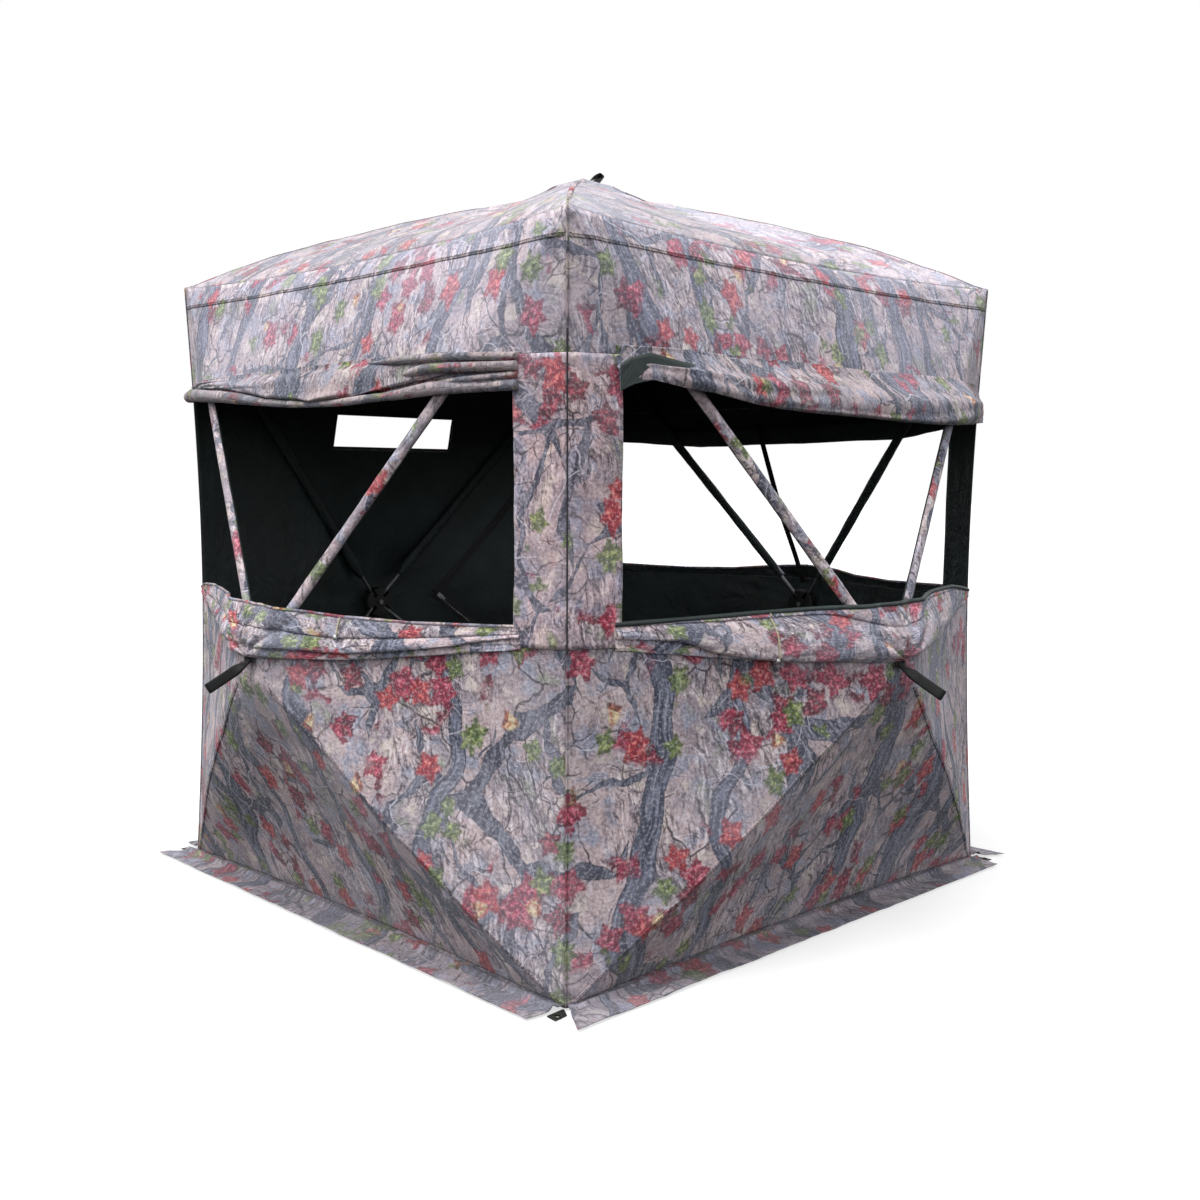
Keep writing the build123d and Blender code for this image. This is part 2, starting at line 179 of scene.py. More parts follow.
def follow_share(reach):
    """Share of the hub's travel: the cap's patch moves whole, the rest with the poles."""
    reach = np.clip(reach, 0, 1)
    straight = np.minimum(1.0, (1 - reach) / 0.970)
    past_cap = smooth(0.050, 0.095, reach)
    return np.clip((1 - past_cap) + past_cap * straight, 0, 1)


def wall_follow(x, z):
    return follow_share(reach_from_hub(x, z))


def roof_follow(x, y):
    return follow_share(np.maximum(np.abs(x), np.abs(y)) / HALF)


def wall_shape(wall, x, z, wrinkle=True):
    """The tensioned wall cloth: flat (x, z) to displaced (x, out, z)."""
    x, z = np.broadcast_arrays(np.asarray(x, float), np.asarray(z, float))
    noise = NOISE[wall]
    reach = np.clip(reach_from_hub(x, z), 0, 1)
    side = np.abs(x) / HALF
    belly = np.sin(math.pi * reach)
    mid_height = np.sin(math.pi * np.clip(z / EAVE, 0, 1))
    out = BULGE * (1 - plateau(reach))
    # the lower poles bow the cloth outward along their lines, the upper ones a little
    to_lower = np.abs(side + z / HUB_Z - 1) / math.hypot(1 / HALF, 1 / HUB_Z)
    out = out + 0.030 * belly * fall(to_lower, 0.15, 2)
    to_upper = (np.abs(side - (z - HUB_Z) / (EAVE - HUB_Z))
                / math.hypot(1 / HALF, 1 / (EAVE - HUB_Z)))
    out = out + 0.007 * belly * fall(to_upper, 0.10, 2)
    # cloth between poles draws in slightly
    out = out - 0.008 * belly * (1 - fall(to_lower, 0.2, 2))
    # corner lines draw in at mid height
    drawn = 0.021 * mid_height * side ** 5
    out = out - drawn
    moved_x = x - np.sign(x) * drawn
    # eave and ground edges draw in between the corners; the eave rolls over softly
    span = np.cos(math.pi * x / (2 * HALF))
    plump = np.clip(span, 0, 1) ** 0.45
    below = EAVE - z
    out = out - 0.017 * span * fall(below, 0.16) - 0.020 * span * fall(z, 0.12)
    out = out - 0.020 * plump * fall(below, 0.042, 1.5)
    moved_z = z - (0.005 * span + 0.012 * plump) * fall(below, 0.05)
    if wrinkle:
        inside = smooth(0, 0.05, 1 - reach) * smooth(0, 0.03, z)
        radius = np.hypot(x, z - HUB_Z)
        angle = np.arctan2(z - HUB_Z, x)
        folds = 0.0030 * noise.octaves(x * 6, z * 5)
        # creases round the hub
        folds = folds + 0.0042 * fall(radius - 0.16, 0.16, 2) * noise(angle * 6.5, radius * 2.0)
        # hanging pleats near the corner lines, under the eave and above the ground
        folds = folds + (0.0040 * smooth(0.55, 0.95, side)
                         * noise(x * 22, z * 2.2 + 9) * mid_height)
        folds = folds + 0.0025 * smooth(1.25, 1.5, z) * noise(x * 16 + z * 3, z * 3)
        folds = folds + 0.0030 * smooth(0.35, 0.05, z) * noise(x * 11 - z * 5, z * 5 + 3)
        out = out + folds * inside
    return moved_x, out, moved_z


def roof_shape(x, y, wrinkle=True):
    """The tensioned roof cloth: flat (x, y) to displaced (x, y, z)."""
    x, y = np.broadcast_arrays(np.asarray(x, float), np.asarray(y, float))
    noise = NOISE["roof"]
    side_x, side_y = np.abs(x), np.abs(y)
    reach = np.clip(np.maximum(side_x, side_y) / HALF, 0, 1)
    z = EAVE + RISE * (1 - plateau(reach, 0.062, 0.16))
    # bowed along the poles
    to_pole = np.abs(side_x - side_y) / math.sqrt(2)
    z = z + 0.027 * np.sin(math.pi * reach ** 1.25) * fall(to_pole, 0.17, 2)
    z = z + 0.006 * np.sin(math.pi * reach)
    # the cap lifts a small peak, the cloth round it lies lower
    z = z - 0.0095 * fall(reach - 0.165, 0.085, 2) + 0.0045 * fall(reach, 0.075, 4)
    # the cloth rolls over the eave
    span = np.cos(math.pi * np.minimum(side_x, side_y) / (2 * HALF))
    plump = np.clip(span, 0, 1) ** 0.45
    inset = (1 - reach) * HALF
    z = z - (0.005 * span + 0.012 * plump) * fall(inset, 0.05)
    z = z - 0.012 * span * np.sin(math.pi * reach) ** 2
    shrink = 1 - (0.017 * span * fall(inset, 0.16)
                  + 0.020 * plump * fall(inset, 0.042, 1.5)) / HALF
    moved_x = np.where(side_x >= side_y, x * shrink, x)
    moved_y = np.where(side_y >= side_x, y * shrink, y)
    if wrinkle:
        radius = np.hypot(x, y)
        folds = 0.0034 * noise.octaves(x * 5, y * 5)
        folds = folds + (0.003 * fall(radius - 0.22, 0.2, 2)
                         * noise(np.arctan2(y, x) * 6, radius * 2))
        folds = folds + 0.003 * fall(inset, 0.12) * noise(x * 14 + y * 3, y * 14 - x * 3)
        z = z + smooth(0, 0.06, 1 - reach) * folds
    return moved_x, moved_y, z


def on_wall(wall, x, z, out=0.0, wrinkle=True):
    """Points on the wall cloth, or `out` beyond it."""
    moved_x, level, moved_z = wall_shape(wall, x, z, wrinkle)
    return place(wall, moved_x, level + out, moved_z)


# ------------------------------------------------------------------ mesh building
def grid_faces(rows, columns, rows_first=True):
    corners = ((0, 0), (1, 0), (1, 1), (0, 1)) if rows_first else ((0, 0), (0, 1), (1, 1), (1, 0))
    return [tuple((i + di) * columns + j + dj for di, dj in corners)
            for i in range(rows - 1) for j in range(columns - 1)]


def ring_faces(rings, sides, capped=True):
    faces = []
    for i in range(rings - 1):
        for k in range(sides):
            after = (k + 1) % sides
            faces.append((i * sides + k, i * sides + after,
                          (i + 1) * sides + after, (i + 1) * sides + k))
    if capped:
        faces.append(tuple(reversed(range(sides))))
        faces.append(tuple((rings - 1) * sides + k for k in range(sides)))
    return faces


def around(along, width, sides):
    """Cloth coordinates of a tube: `along` per ring, 0 to width round it."""
    return np.stack([np.repeat(along, sides),
                     np.tile(np.linspace(0, width, sides), len(along))], -1)


def vertex_normals(points, faces):
    normals = np.zeros_like(points)
    for size in sorted({len(face) for face in faces}):
        index = np.array([face for face in faces if len(face) == size])
        edges = [points[index[:, k]] - points[index[:, 0]] for k in range(1, min(size, 4))]
        area = np.cross(edges[0], edges[1])
        if size > 3:
            area = area + np.cross(edges[1], edges[2])
        for k in range(size):
            np.add.at(normals, index[:, k], area)
    length = np.linalg.norm(normals, axis=1, keepdims=True)
    return normals / np.where(length < 1e-12, 1, length)


class Bag:
    """Gathers the pieces of one object.

    Each point has a cloth coordinate for the materials, and a follow share, which is how far
    it goes with the moving body. Each face has a material slot.
    """

    def __init__(self):
        self.points, self.cloth, self.follow = [], [], []
        self.faces, self.slots = [], []
        self.count = 0

    def add(self, points, cloth, faces, slots=0, follow=0.0):
        points = np.reshape(points, (-1, 3))
        given = np.reshape(cloth, (len(points), -1))
        cloth = np.zeros((len(points), 3))
        cloth[:, :given.shape[1]] = given
        self.points.append(points)
        self.cloth.append(cloth)
        self.follow.append(np.broadcast_to(follow, len(points)))
        self.faces += [tuple(int(i) + self.count for i in face) for face in faces]
        self.slots += list(np.broadcast_to(slots, len(faces)))
        self.count += len(points)

    def sheet(self, points, cloth, faces, follow, outward, thick=0.0012, outer=0, inner=1,
              lift=0.0):
        """A thin closed cloth, its outer face turned outward."""
        follow = np.broadcast_to(follow, points.shape[:-1]).ravel()
        points = points.reshape(-1, 3)
        cloth = cloth.reshape(len(points), -1)
        normals = vertex_normals(points, faces)
        if (normals * outward).sum() < 0:
            faces = [face[::-1] for face in faces]
            normals = -normals
        points = points + normals * lift
        count = len(points)
        back = [tuple(i + count for i in face[::-1]) for face in faces]
        edges = dict.fromkeys(edge for face in faces for edge in zip(face, face[1:] + face[:1]))
        rim = [(b, a, a + count, b + count) for a, b in edges if (b, a) not in edges]
        outer = list(np.broadcast_to(outer, len(faces)))
        self.add(np.vstack([points, points - normals * thick]), np.vstack([cloth, cloth]),
                 faces + back + rim, outer + [inner] * len(back) + [outer[0]] * len(rim),
                 np.tile(follow, 2))

    def wall_sheet(self, wall, x, z, faces, out=0.0, **options):
        """A sheet lying on a wall, printed by its place there."""
        self.sheet(on_wall(wall, x, z, out), np.stack([x + CLOTH_START[wall], z], -1), faces,
                   wall_follow(x, z), OUTWARD[wall], **options)

    def tube(self, path, radius, slot, sides=10, follow=0.0, cloth=None, capped=True):
        """A round cord along a path."""
        tangent = unit(np.gradient(path, axis=0))
        up = (0, 0, 1.0) if abs(tangent[0][2]) < 0.8 else (1.0, 0, 0)
        across = unit(np.cross(tangent, up))
        above = np.cross(across, tangent)
        turn = 2 * math.pi * np.arange(sides) / sides
        radius = np.broadcast_to(radius, len(path))[:, None]
        rim = (across[:, None] * np.cos(turn)[:, None] + above[:, None] * np.sin(turn)[:, None])
        if cloth is None:
            cloth = np.stack(np.broadcast_arrays(run_length(path)[:, None], radius * turn), -1)
        self.add(path[:, None] + radius[..., None] * rim, cloth,
                 ring_faces(len(path), sides, capped), slot,
                 np.repeat(np.broadcast_to(follow, len(path)), sides))

    def ribbon(self, path, side, width, thick, follow=0.0):
        """A flat strap along a path; side is its width direction."""
        side = unit(np.broadcast_to(side, path.shape))
        normal = unit(np.cross(unit(np.gradient(path, axis=0)), side))
        across = np.linspace(-1, 1, 7)
        level = 0.5 * (1 - 0.75 * np.abs(across) ** 6)      # thinner towards the edges
        across = np.concatenate([across, across[::-1]])
        level = np.concatenate([level, -level[::-1]])
        points = (path[:, None] + side[:, None] * across[:, None] * width / 2
                  + normal[:, None] * level[:, None] * thick)
        cloth = np.stack(np.broadcast_arrays(across * width / 2, run_length(path)[:, None]), -1)
        self.add(points, cloth, ring_faces(len(path), len(across)), 0,
                 np.repeat(np.broadcast_to(follow, len(path)), len(across)))

    def make(self, name, materials):
        mesh = bpy.data.meshes.new(name)
        mesh.from_pydata(np.vstack(self.points).tolist(), [], self.faces)
        mesh.validate(clean_customdata=False)
        attribute = mesh.attributes.new("cloth", "FLOAT_VECTOR", "POINT")
        attribute.data.foreach_set("vector", np.vstack(self.cloth).astype(np.float32).ravel())
        for material in materials:
            mesh.materials.append(material)
        mesh.polygons.foreach_set("material_index", np.asarray(self.slots, np.int32))
        mesh.polygons.foreach_set("use_smooth", np.full(len(self.faces), True))
        mesh.update()
        ob = bpy.data.objects.new(name, mesh)
        bpy.context.scene.collection.objects.link(ob)
        return ob

    def hang(self, name, materials):
        """Makes cloth in the frame's coordinates; its follow shares are clipped but not used."""
        ob = self.make(name, materials)
        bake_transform(ob)
        share = np.clip(np.concatenate(self.follow).astype(np.float32), 0, 1)
        return ob

    def fix(self, name, materials, body):
        """Makes a piece that rides rigidly on a body."""
        ob = self.make(name, materials)
        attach(ob, body)
        return ob


def flat_sheet(x_from, x_to, z_from, z_to, step, cuts=(), keep=None):
    """A flat (x, z) grid, split along (point, normal) cut lines and trimmed by keep(x, z)."""
    columns = max(1, int(round((x_to - x_from) / step)))
    rows = max(1, int(round((z_to - z_from) / step)))
    bm = bmesh.new()
    grid = [[bm.verts.new((x, 0, z)) for x in np.linspace(x_from, x_to, columns + 1)]
            for z in np.linspace(z_from, z_to, rows + 1)]
    for j in range(rows):
        for i in range(columns):
            bm.faces.new((grid[j][i], grid[j][i + 1], grid[j + 1][i + 1], grid[j + 1][i]))
    for point, normal in cuts:
        bmesh.ops.bisect_plane(bm, geom=bm.verts[:] + bm.edges[:] + bm.faces[:], dist=1e-5,
                               plane_co=(point[0], 0, point[1]),
                               plane_no=(normal[0], 0, normal[1]))
    if keep is not None:
        centres = [(face, face.calc_center_median()) for face in bm.faces]
        outside = [face for face, centre in centres if not keep(centre.x, centre.z)]
        bmesh.ops.delete(bm, geom=outside, context="FACES")
    bmesh.ops.remove_doubles(bm, verts=bm.verts[:], dist=2e-4)
    points = np.array([vert.co for vert in bm.verts], float)
    index = {vert: i for i, vert in enumerate(bm.verts)}
    faces = [tuple(index[vert] for vert in face.verts) for face in bm.faces]
    bm.free()
    return points[:, 0], points[:, 2], faces


# ------------------------------------------------------------------ shader building
def linear(red, green, blue):
    """sRGB bytes to linear RGBA."""
    def channel(c):
        return (c / 255 / 12.92) if c <= 10 else ((c / 255 + 0.055) / 1.055) ** 2.4
    return (channel(red), channel(green), channel(blue), 1.0)


def lighter(tone, by):
    return tuple(min(255, c + by) for c in tone)


def darker(tone, factor):
    return tuple(int(c * factor) for c in tone)


class Value:
    """A node output. Arithmetic on it adds Math nodes, or Vector Math nodes for a vector."""

    def __init__(self, graph, socket):
        self.graph, self.socket = graph, socket

    def math(self, operation, *inputs, **settings):
        kind = "ShaderNodeMath" if self.socket.type == "VALUE" else "ShaderNodeVectorMath"
        return self.graph.node(kind, dict(enumerate(inputs)), operation=operation, **settings)[0]

    def __add__(self, other):
        return self.math("ADD", self, other)

    def __radd__(self, other):
        return self.math("ADD", other, self)

    def __sub__(self, other):
        return self.math("SUBTRACT", self, other)

    def __rsub__(self, other):
        return self.math("SUBTRACT", other, self)

    def __mul__(self, other):
        return self.math("MULTIPLY", self, other)

    def __truediv__(self, other):
        return self.math("DIVIDE", self, other)

    def __rtruediv__(self, other):
        return self.math("DIVIDE", other, self)

    def __abs__(self):
        return self.math("ABSOLUTE", self)

    def sine(self):
        return self.math("SINE", self)

    def cosine(self):
        return self.math("COSINE", self)

    def scaled(self, factor):
        """A vector times one number."""
        return self.graph.node("ShaderNodeVectorMath", {0: self, 3: factor},
                               operation="SCALE")[0]

    def xyz(self):
        return self.graph.node("ShaderNodeSeparateXYZ", {0: self})

    def ramp(self, start, end, low=0.0, high=1.0):
        """Smooth change from low at start to high at end."""
        return self.graph.node("ShaderNodeMapRange", {0: self, 1: start, 2: end, 3: low, 4: high},
                               interpolation_type="SMOOTHSTEP")[0]

    def gate(self, threshold, gain):
        """Steep clamped rise above a threshold."""
        rise = (self if threshold is None else self - threshold)
        return self.math("MULTIPLY", rise, gain, use_clamp=True)

    def noise(self, scale, detail=2.0, rough=0.5, warp=0.0, solid=False, output=0):
        inputs = {"Vector": self, "Scale": scale, "Detail": detail, "Roughness": rough,
                  "Distortion": warp}
        return self.graph.node("ShaderNodeTexNoise", inputs,
                               noise_dimensions="3D" if solid else "2D")[output]

    def bump(self, strength, distance):
        return self.graph.node("ShaderNodeBump", {"Height": self, "Strength": strength,
                                                  "Distance": distance})[0]


class Graph:
    """A node tree and short ways to fill it."""

    def __init__(self, tree):
        self.tree = tree
        tree.nodes.clear()

    def put(self, socket, value):
        if isinstance(value, Value):
            self.tree.links.new(value.socket, socket)
        else:
            socket.default_value = value

    def node(self, kind, inputs=None, **settings):
        """Adds a node and returns its outputs."""
        node = self.tree.nodes.new(kind)
        for key, value in settings.items():
            setattr(node, key, value)
        for key, value in (inputs or {}).items():
            self.put(node.inputs[key], value)
        return [Value(self, socket) for socket in node.outputs]

    def vector(self, x, y):
        return self.node("ShaderNodeCombineXYZ", {0: x, 1: y, 2: 0.0})[0]

    def voronoi(self, inputs, feature="DISTANCE_TO_EDGE", dimensions="2D"):
        """Returns distance, colour and position."""
        return self.node("ShaderNodeTexVoronoi", inputs, voronoi_dimensions=dimensions,
                         feature=feature)[:3]

    def mix(self, share, base, colour, blend="MIX"):
        """Colours are sRGB bytes (3 numbers), linear RGBA (4) or node outputs."""
        base, colour = (linear(*c) if isinstance(c, tuple) and len(c) == 3 else c
                        for c in (base, colour))
        return self.node("ShaderNodeMix", {0: share, 6: base, 7: colour}, data_type="RGBA",
                         blend_type=blend)[2]

    def paint(self, base, *layers):
        """Lays (share, colour) layers over a base in turn."""
        for share, colour in layers:
            base = self.mix(share, base, colour)
        return base

    def group(self, tree, *values):
        return self.node("ShaderNodeGroup", dict(enumerate(values)), node_tree=tree)


class Group(Graph):
    """A node group shared by several trees; inputs and outputs map names to socket kinds."""

    def __init__(self, name, inputs, outputs):
        super().__init__(bpy.data.node_groups.new(name, "ShaderNodeTree"))
        for direction, sockets in (("INPUT", inputs), ("OUTPUT", outputs)):
            for socket, kind in sockets.items():
                self.tree.interface.new_socket(socket, in_out=direction,
                                               socket_type="NodeSocket" + kind)
        self.inputs = self.node("NodeGroupInput")[:len(inputs)]

    def finish(self, *values):
        self.node("NodeGroupOutput", dict(enumerate(values)))
        return self.tree


class Material(Graph):
    def __init__(self, name):
        self.material = bpy.data.materials.new(name)
        self.material.use_nodes = True
        super().__init__(self.material.node_tree)

    def cloth(self):
        return self.node("ShaderNodeAttribute", attribute_name="cloth")[1]

    def object_place(self):
        return self.node("ShaderNodeTexCoord")[3]

    def finish(self, colour, rough, **inputs):
        inputs = {key.replace("_", " "): value for key, value in inputs.items()}
        surface = self.node("ShaderNodeBsdfPrincipled",
                            {"Base Color": colour, "Roughness": rough, **inputs})[0]
        self.node("ShaderNodeOutputMaterial", {0: surface})
        return self.material


# ------------------------------------------------------------------ woodland print
def leaf_group():
    """One layer of pointed, lobed leaves, one leaf in some cells."""
    names = ("Cell", "Offset", "Lobes", "Share", "Size", "Where", "Low", "Ragged")
    graph = Group("leaf_layer", {"P": "Vector", **dict.fromkeys(names, "Float")},
                  dict.fromkeys(("Mask", "Tone", "Random", "Side"), "Float"))
    point, cell, offset, lobes, share, size, where, low, ragged = graph.inputs
    point = point.scaled(1.0 / cell) + graph.vector(offset, offset + 3.0)
    _, colour, centre = graph.voronoi({"Vector": point, "Scale": 1.0, "Randomness": 0.8},
                                      feature="F1")
    turn, squeeze, chance = colour.xyz()
    x, y, _ = (point - centre).xyz()
    # seen at a slant: squeezed one way by a random amount
    x = x * (1.0 + squeeze * 0.45)
    radius = (x * x + y * y).math("SQRT", x * x + y * y) if False else None
    square = x * x + y * y
    radius = square.math("SQRT", square)
    angle = y.math("ARCTAN2", y, x) + turn * 6.2832
    half = angle * lobes * 0.5
    lobe = 1.0 - half.math("POWER", abs(half.sine()), 1.05) * 0.40
    jag = (ragged - 0.5 + abs((angle * 11.0).sine()) * 0.22) * 0.42
    uneven = 0.84 + angle.cosine() * 0.20
    outline = (lobe + jag) * uneven * (size * (0.70 + squeeze * 0.5))
    mask = (outline - radius).ramp(-0.022, 0.040) * chance.math("LESS_THAN", chance, share)
    mask = mask * where.gate(low, gain=30.0)
    vein = (abs(half.sine()) * radius).ramp(0.006, 0.040, low=0.70)
    tone = vein * (radius / (outline + 0.001)).ramp(0.35, 1.1, low=1.0, high=0.68)
    return graph.finish(mask, tone, squeeze, angle.cosine().ramp(-0.15, 0.25))


LEAF = leaf_group()


def print_group():
    """Woodland print: litter ground, trunks, branches, twigs and leaves."""
    graph = Group("woodland_print", {"P": "Vector"}, {"Colour": "Color"})
    point = graph.inputs[0]
    warp = point.noise(scale=6.0, detail=3.0, output=1) - (0.5, 0.5, 0.5)
    bent = point + warp.scaled(0.05)
    bent_more = point + warp.scaled(0.10)
    x, y, _ = point.xyz()
    bent_x, bent_y, _ = bent.xyz()
    blotch = bent.noise(scale=8.0, detail=3.0, rough=0.6)
    blotch_small = (bent + (3.3, 1.7, 0)).noise(scale=15.0, detail=3.0, rough=0.6)
    # upright litter and dry grass, and stems that cross it
    grass = graph.vector(bent_x * 1.0 + bent_y * 0.10, bent_y * 0.20).noise(
        scale=120.0, detail=4.0, rough=0.68, warp=0.35)
    stems = graph.vector(bent_x * 0.8 + bent_y * 0.6, bent_y * 0.2 - bent_x * 0.14).noise(
        scale=85.0, detail=3.0, rough=0.65, warp=0.5)
    grain = point.noise(scale=150.0, rough=0.6)
    patch = (point + (5.1, 9.4, 0)).noise(scale=5.5).ramp(0.40, 0.58, low=0.22)
    colour = graph.paint(
        (190, 170, 172),
        (blotch.ramp(0.38, 0.62), (150, 138, 146)),
        (blotch_small.ramp(0.50, 0.68), (146, 148, 166)),
        (blotch_small.ramp(0.42, 0.30), (204, 190, 184)),
        (blotch.ramp(0.62, 0.74), (140, 144, 132)),
        (grass.ramp(0.50, 0.66, high=0.85) * patch, (84, 76, 84)),
        (grass.ramp(0.46, 0.34, high=0.75) * patch, (222, 212, 218)),
        (stems.ramp(0.55, 0.66, high=0.75) * patch, (76, 70, 76)),
        (stems.ramp(0.40, 0.32, high=0.40), (206, 198, 208)))

    tall = bent_more * (1.0, 0.62, 1.0)
    gate_a = (point + (8.8, -4.2, 0)).noise(scale=4.2)
    gate_b = (point + (2.8, 6.6, 0)).noise(scale=5.0)

    def twigs(vector, gate, scale, offset, core, edge, strength, cut, tint):
        """Thin lines on cell edges, solid within core and gone at edge; cut is the gate level."""
        distance = graph.voronoi({"Vector": vector + (offset, offset * 1.3, 0),
                                  "Scale": scale})[0]
        broken = (vector + (offset * 2.1, 3.0, 0)).noise(scale=scale * 0.62, detail=1.0)
        present = gate.gate(cut, gain=14.0) * broken.ramp(0.43, 0.52)
        return distance.ramp(edge, core) * present * strength, tint

    colour = graph.paint(
        colour,
        twigs(tall, gate_a, scale=15.0, offset=4.2, core=0.010, edge=0.046, strength=0.92,
              cut=0.44, tint=(62, 56, 62)),
        twigs(bent_more, gate_b, scale=24.0, offset=9.7, core=0.010, edge=0.055, strength=0.80,
              cut=0.44, tint=(70, 62, 66)))

    # trunks: warped upright bands with bark
    sway = graph.vector(x * 0.7, y * 0.9).noise(scale=3.0)
    trunk_x = x + (sway - 0.5) * 0.30
    distance, random, _ = graph.voronoi(
        {"W": trunk_x / 0.30, "Scale": 1.0, "Randomness": 0.75}, feature="F1", dimensions="1D")
    half_width = (0.055 + random.xyz()[0] * 0.095) * (0.72 + blotch_small * 0.5)
    inside = half_width - distance
    bark = graph.vector(trunk_x * 7.0, y).noise(scale=11.0, detail=4.0, rough=0.68, warp=0.5)
    trunk = graph.paint((70, 74, 90),
                        (bark.ramp(0.40, 0.60), (118, 122, 140)),
                        (bark.ramp(0.60, 0.72), (160, 160, 174)),
                        (inside.ramp(0.028, 0.0, high=0.75), (48, 50, 62)))
    colour = graph.mix(inside.ramp(-0.006, 0.008), colour, trunk)

    def branches(gate, scale, offset, width, start, end):
        """Heavy branches that fade in and out along warped cells."""
        edge = graph.voronoi({"Vector": tall + (offset, -offset, 0), "Scale": scale})[0]
        depth = gate.ramp(start, end) * width - edge
        shade = graph.paint((74, 76, 90),
                            (bark.ramp(0.42, 0.62), (122, 124, 138)),
                            (depth.ramp(0.010, 0.0, high=0.6), (46, 46, 56)))
        return depth.ramp(-0.003, 0.004), shade

    colour = graph.paint(
        colour,
        branches(gate_a, scale=3.6, offset=2.6, width=0.052, start=0.40, end=0.60),
        branches(gate_b, scale=6.2, offset=7.4, width=0.040, start=0.44, end=0.60),
        # pale bare twigs over everything
        twigs(bent_more, gate_b, scale=8.5, offset=6.1, core=0.004, edge=0.018, strength=0.85,
              cut=0.50, tint=(196, 194, 206)),
        twigs(tall, gate_a, scale=13.0, offset=3.1, core=0.004, edge=0.022, strength=0.65,
              cut=0.52, tint=(186, 182, 194)))

    clump_a = (point + (8.1, 2.2, 0)).noise(scale=4.4)
    clump_b = (point + (1.1, 7.9, 0)).noise(scale=5.2)
    mottle = (point + (0.7, 0.3, 0)).noise(scale=75.0, detail=3.0, rough=0.65)
    # cell, offset, lobes, share, size, where they grow, its low limit, dark, light and glow tone
    leaf_layers = (
        (0.092, 5.5, 5.0, 0.75, 0.52, clump_a, 0.545, (90, 40, 52), (164, 62, 80), (206, 118, 132)),
        (0.108, 0.0, 5.0, 0.80, 0.48, clump_a, 0.515,
         (126, 38, 60), (202, 80, 104), (230, 148, 162)),
        (0.150, 41.3, 5.0, 0.42, 0.31, 1.0, 0.5, (150, 52, 62), (216, 92, 94), (238, 160, 146)),
        (0.100, 11.3, 7.0, 0.65, 0.42, clump_b, 0.55,
         (84, 102, 58), (142, 158, 100), (196, 204, 150)),
        (0.150, 17.9, 5.0, 0.42, 0.26, 1.0, 0.5, (82, 100, 56), (146, 164, 94), (200, 208, 140)),
        (0.190, 23.7, 3.0, 0.26, 0.15, 1.0, 0.5, (112, 52, 40), (206, 112, 70), (240, 222, 176)),
    )
    for layer in leaf_layers:
        dark, light, glow = layer[7:]
        mask, tone, _, side = graph.group(LEAF, point, *layer[:7], mottle)
        leaf = graph.paint(light, (mottle.ramp(0.36, 0.58), dark),
                           (mottle.ramp(0.42, 0.28, high=0.8), glow))
        if layer is leaf_layers[-1]:        # the small leaves glow on one side
            leaf = graph.mix(side * mottle.ramp(0.40, 0.56) * 0.85, leaf, glow)
        leaf = graph.mix(1.0 - tone, leaf, (52, 34, 40))
        colour = graph.mix(mask * 0.90, colour, leaf)
    return graph.finish(graph.paint(colour,
                                    (grain.ramp(0.50, 0.72, high=0.34), (52, 48, 56)),
                                    (grain.ramp(0.48, 0.30, high=0.26), (226, 220, 226))))


PRINT = print_group()


# ------------------------------------------------------------------ materials
def weave(cloth, size=0.0011):
    """Plain weave height, 0 to 1."""
    x, y, _ = cloth.xyz()
    return (x * (2 * math.pi / size)).sine() * (y * (2 * math.pi / size)).sine() * 0.5 + 0.5


def fabric_height(cloth, fine, crease, fuzz, fold):
    """Height in metres of yarn, fuzz and hand creases."""
    return weave(cloth) * 0.00012 + (fine * fuzz + crease * fold)


def print_colour(graph, cloth, tint=None):
    colour = graph.group(PRINT, cloth)[0]
    if tint is not None:
        colour = graph.mix(1.0, colour, tint + (1,), "MULTIPLY")
    return colour


def camo(name, tint=None, fade=0.0, offset=(0, 0, 0), high=0.0):
    """Printed cloth. fade: extra paleness over the worn patches, a painted highlight; high: painted
    highlight, paler near the eave; offset: print shift.
    """
    graph = Material(name)
    place_on_cloth = graph.cloth()
    cloth = place_on_cloth + offset
    colour = print_colour(graph, cloth, tint)
    height = place_on_cloth.xyz()[1]
    # worn patches printed paler; fade adds paleness on top of them, a painted highlight
    worn = cloth.noise(scale=2.3, rough=0.6).ramp(0.42, 0.7, low=0.55 * fade, high=0.14 + fade)
    colour = graph.mix(worn, colour, (212, 210, 226))
    # painted highlight: paler and lighter towards the eave, where the light from above falls
    if high:
        colour = graph.mix(height.ramp(1.20, 1.36, high=high), colour, (214, 210, 228))
        colour = graph.mix(height.ramp(1.20, 1.36, high=min(1.0, 5 * high)), colour,
                           (1.08, 1.10, 1.14, 1), "MULTIPLY")
    # painted shade: darker and warmer low down, near the ground
    colour = graph.mix(height.ramp(0.10, 0.0, high=0.22), colour, (120, 112, 106))
    fine = cloth.noise(scale=240.0, rough=0.7)
    crease = cloth.noise(scale=24.0, detail=3.0, rough=0.62, warp=0.8)
    relief = fabric_height(cloth, fine, crease, fuzz=0.0004, fold=0.0046)
    return graph.finish(colour, fine.ramp(0.3, 0.7, low=0.74, high=0.92),
                        Normal=relief.bump(strength=0.75, distance=1.0),
                        Sheen_Weight=0.12, Sheen_Roughness=0.5, Specular_IOR_Level=0.25)


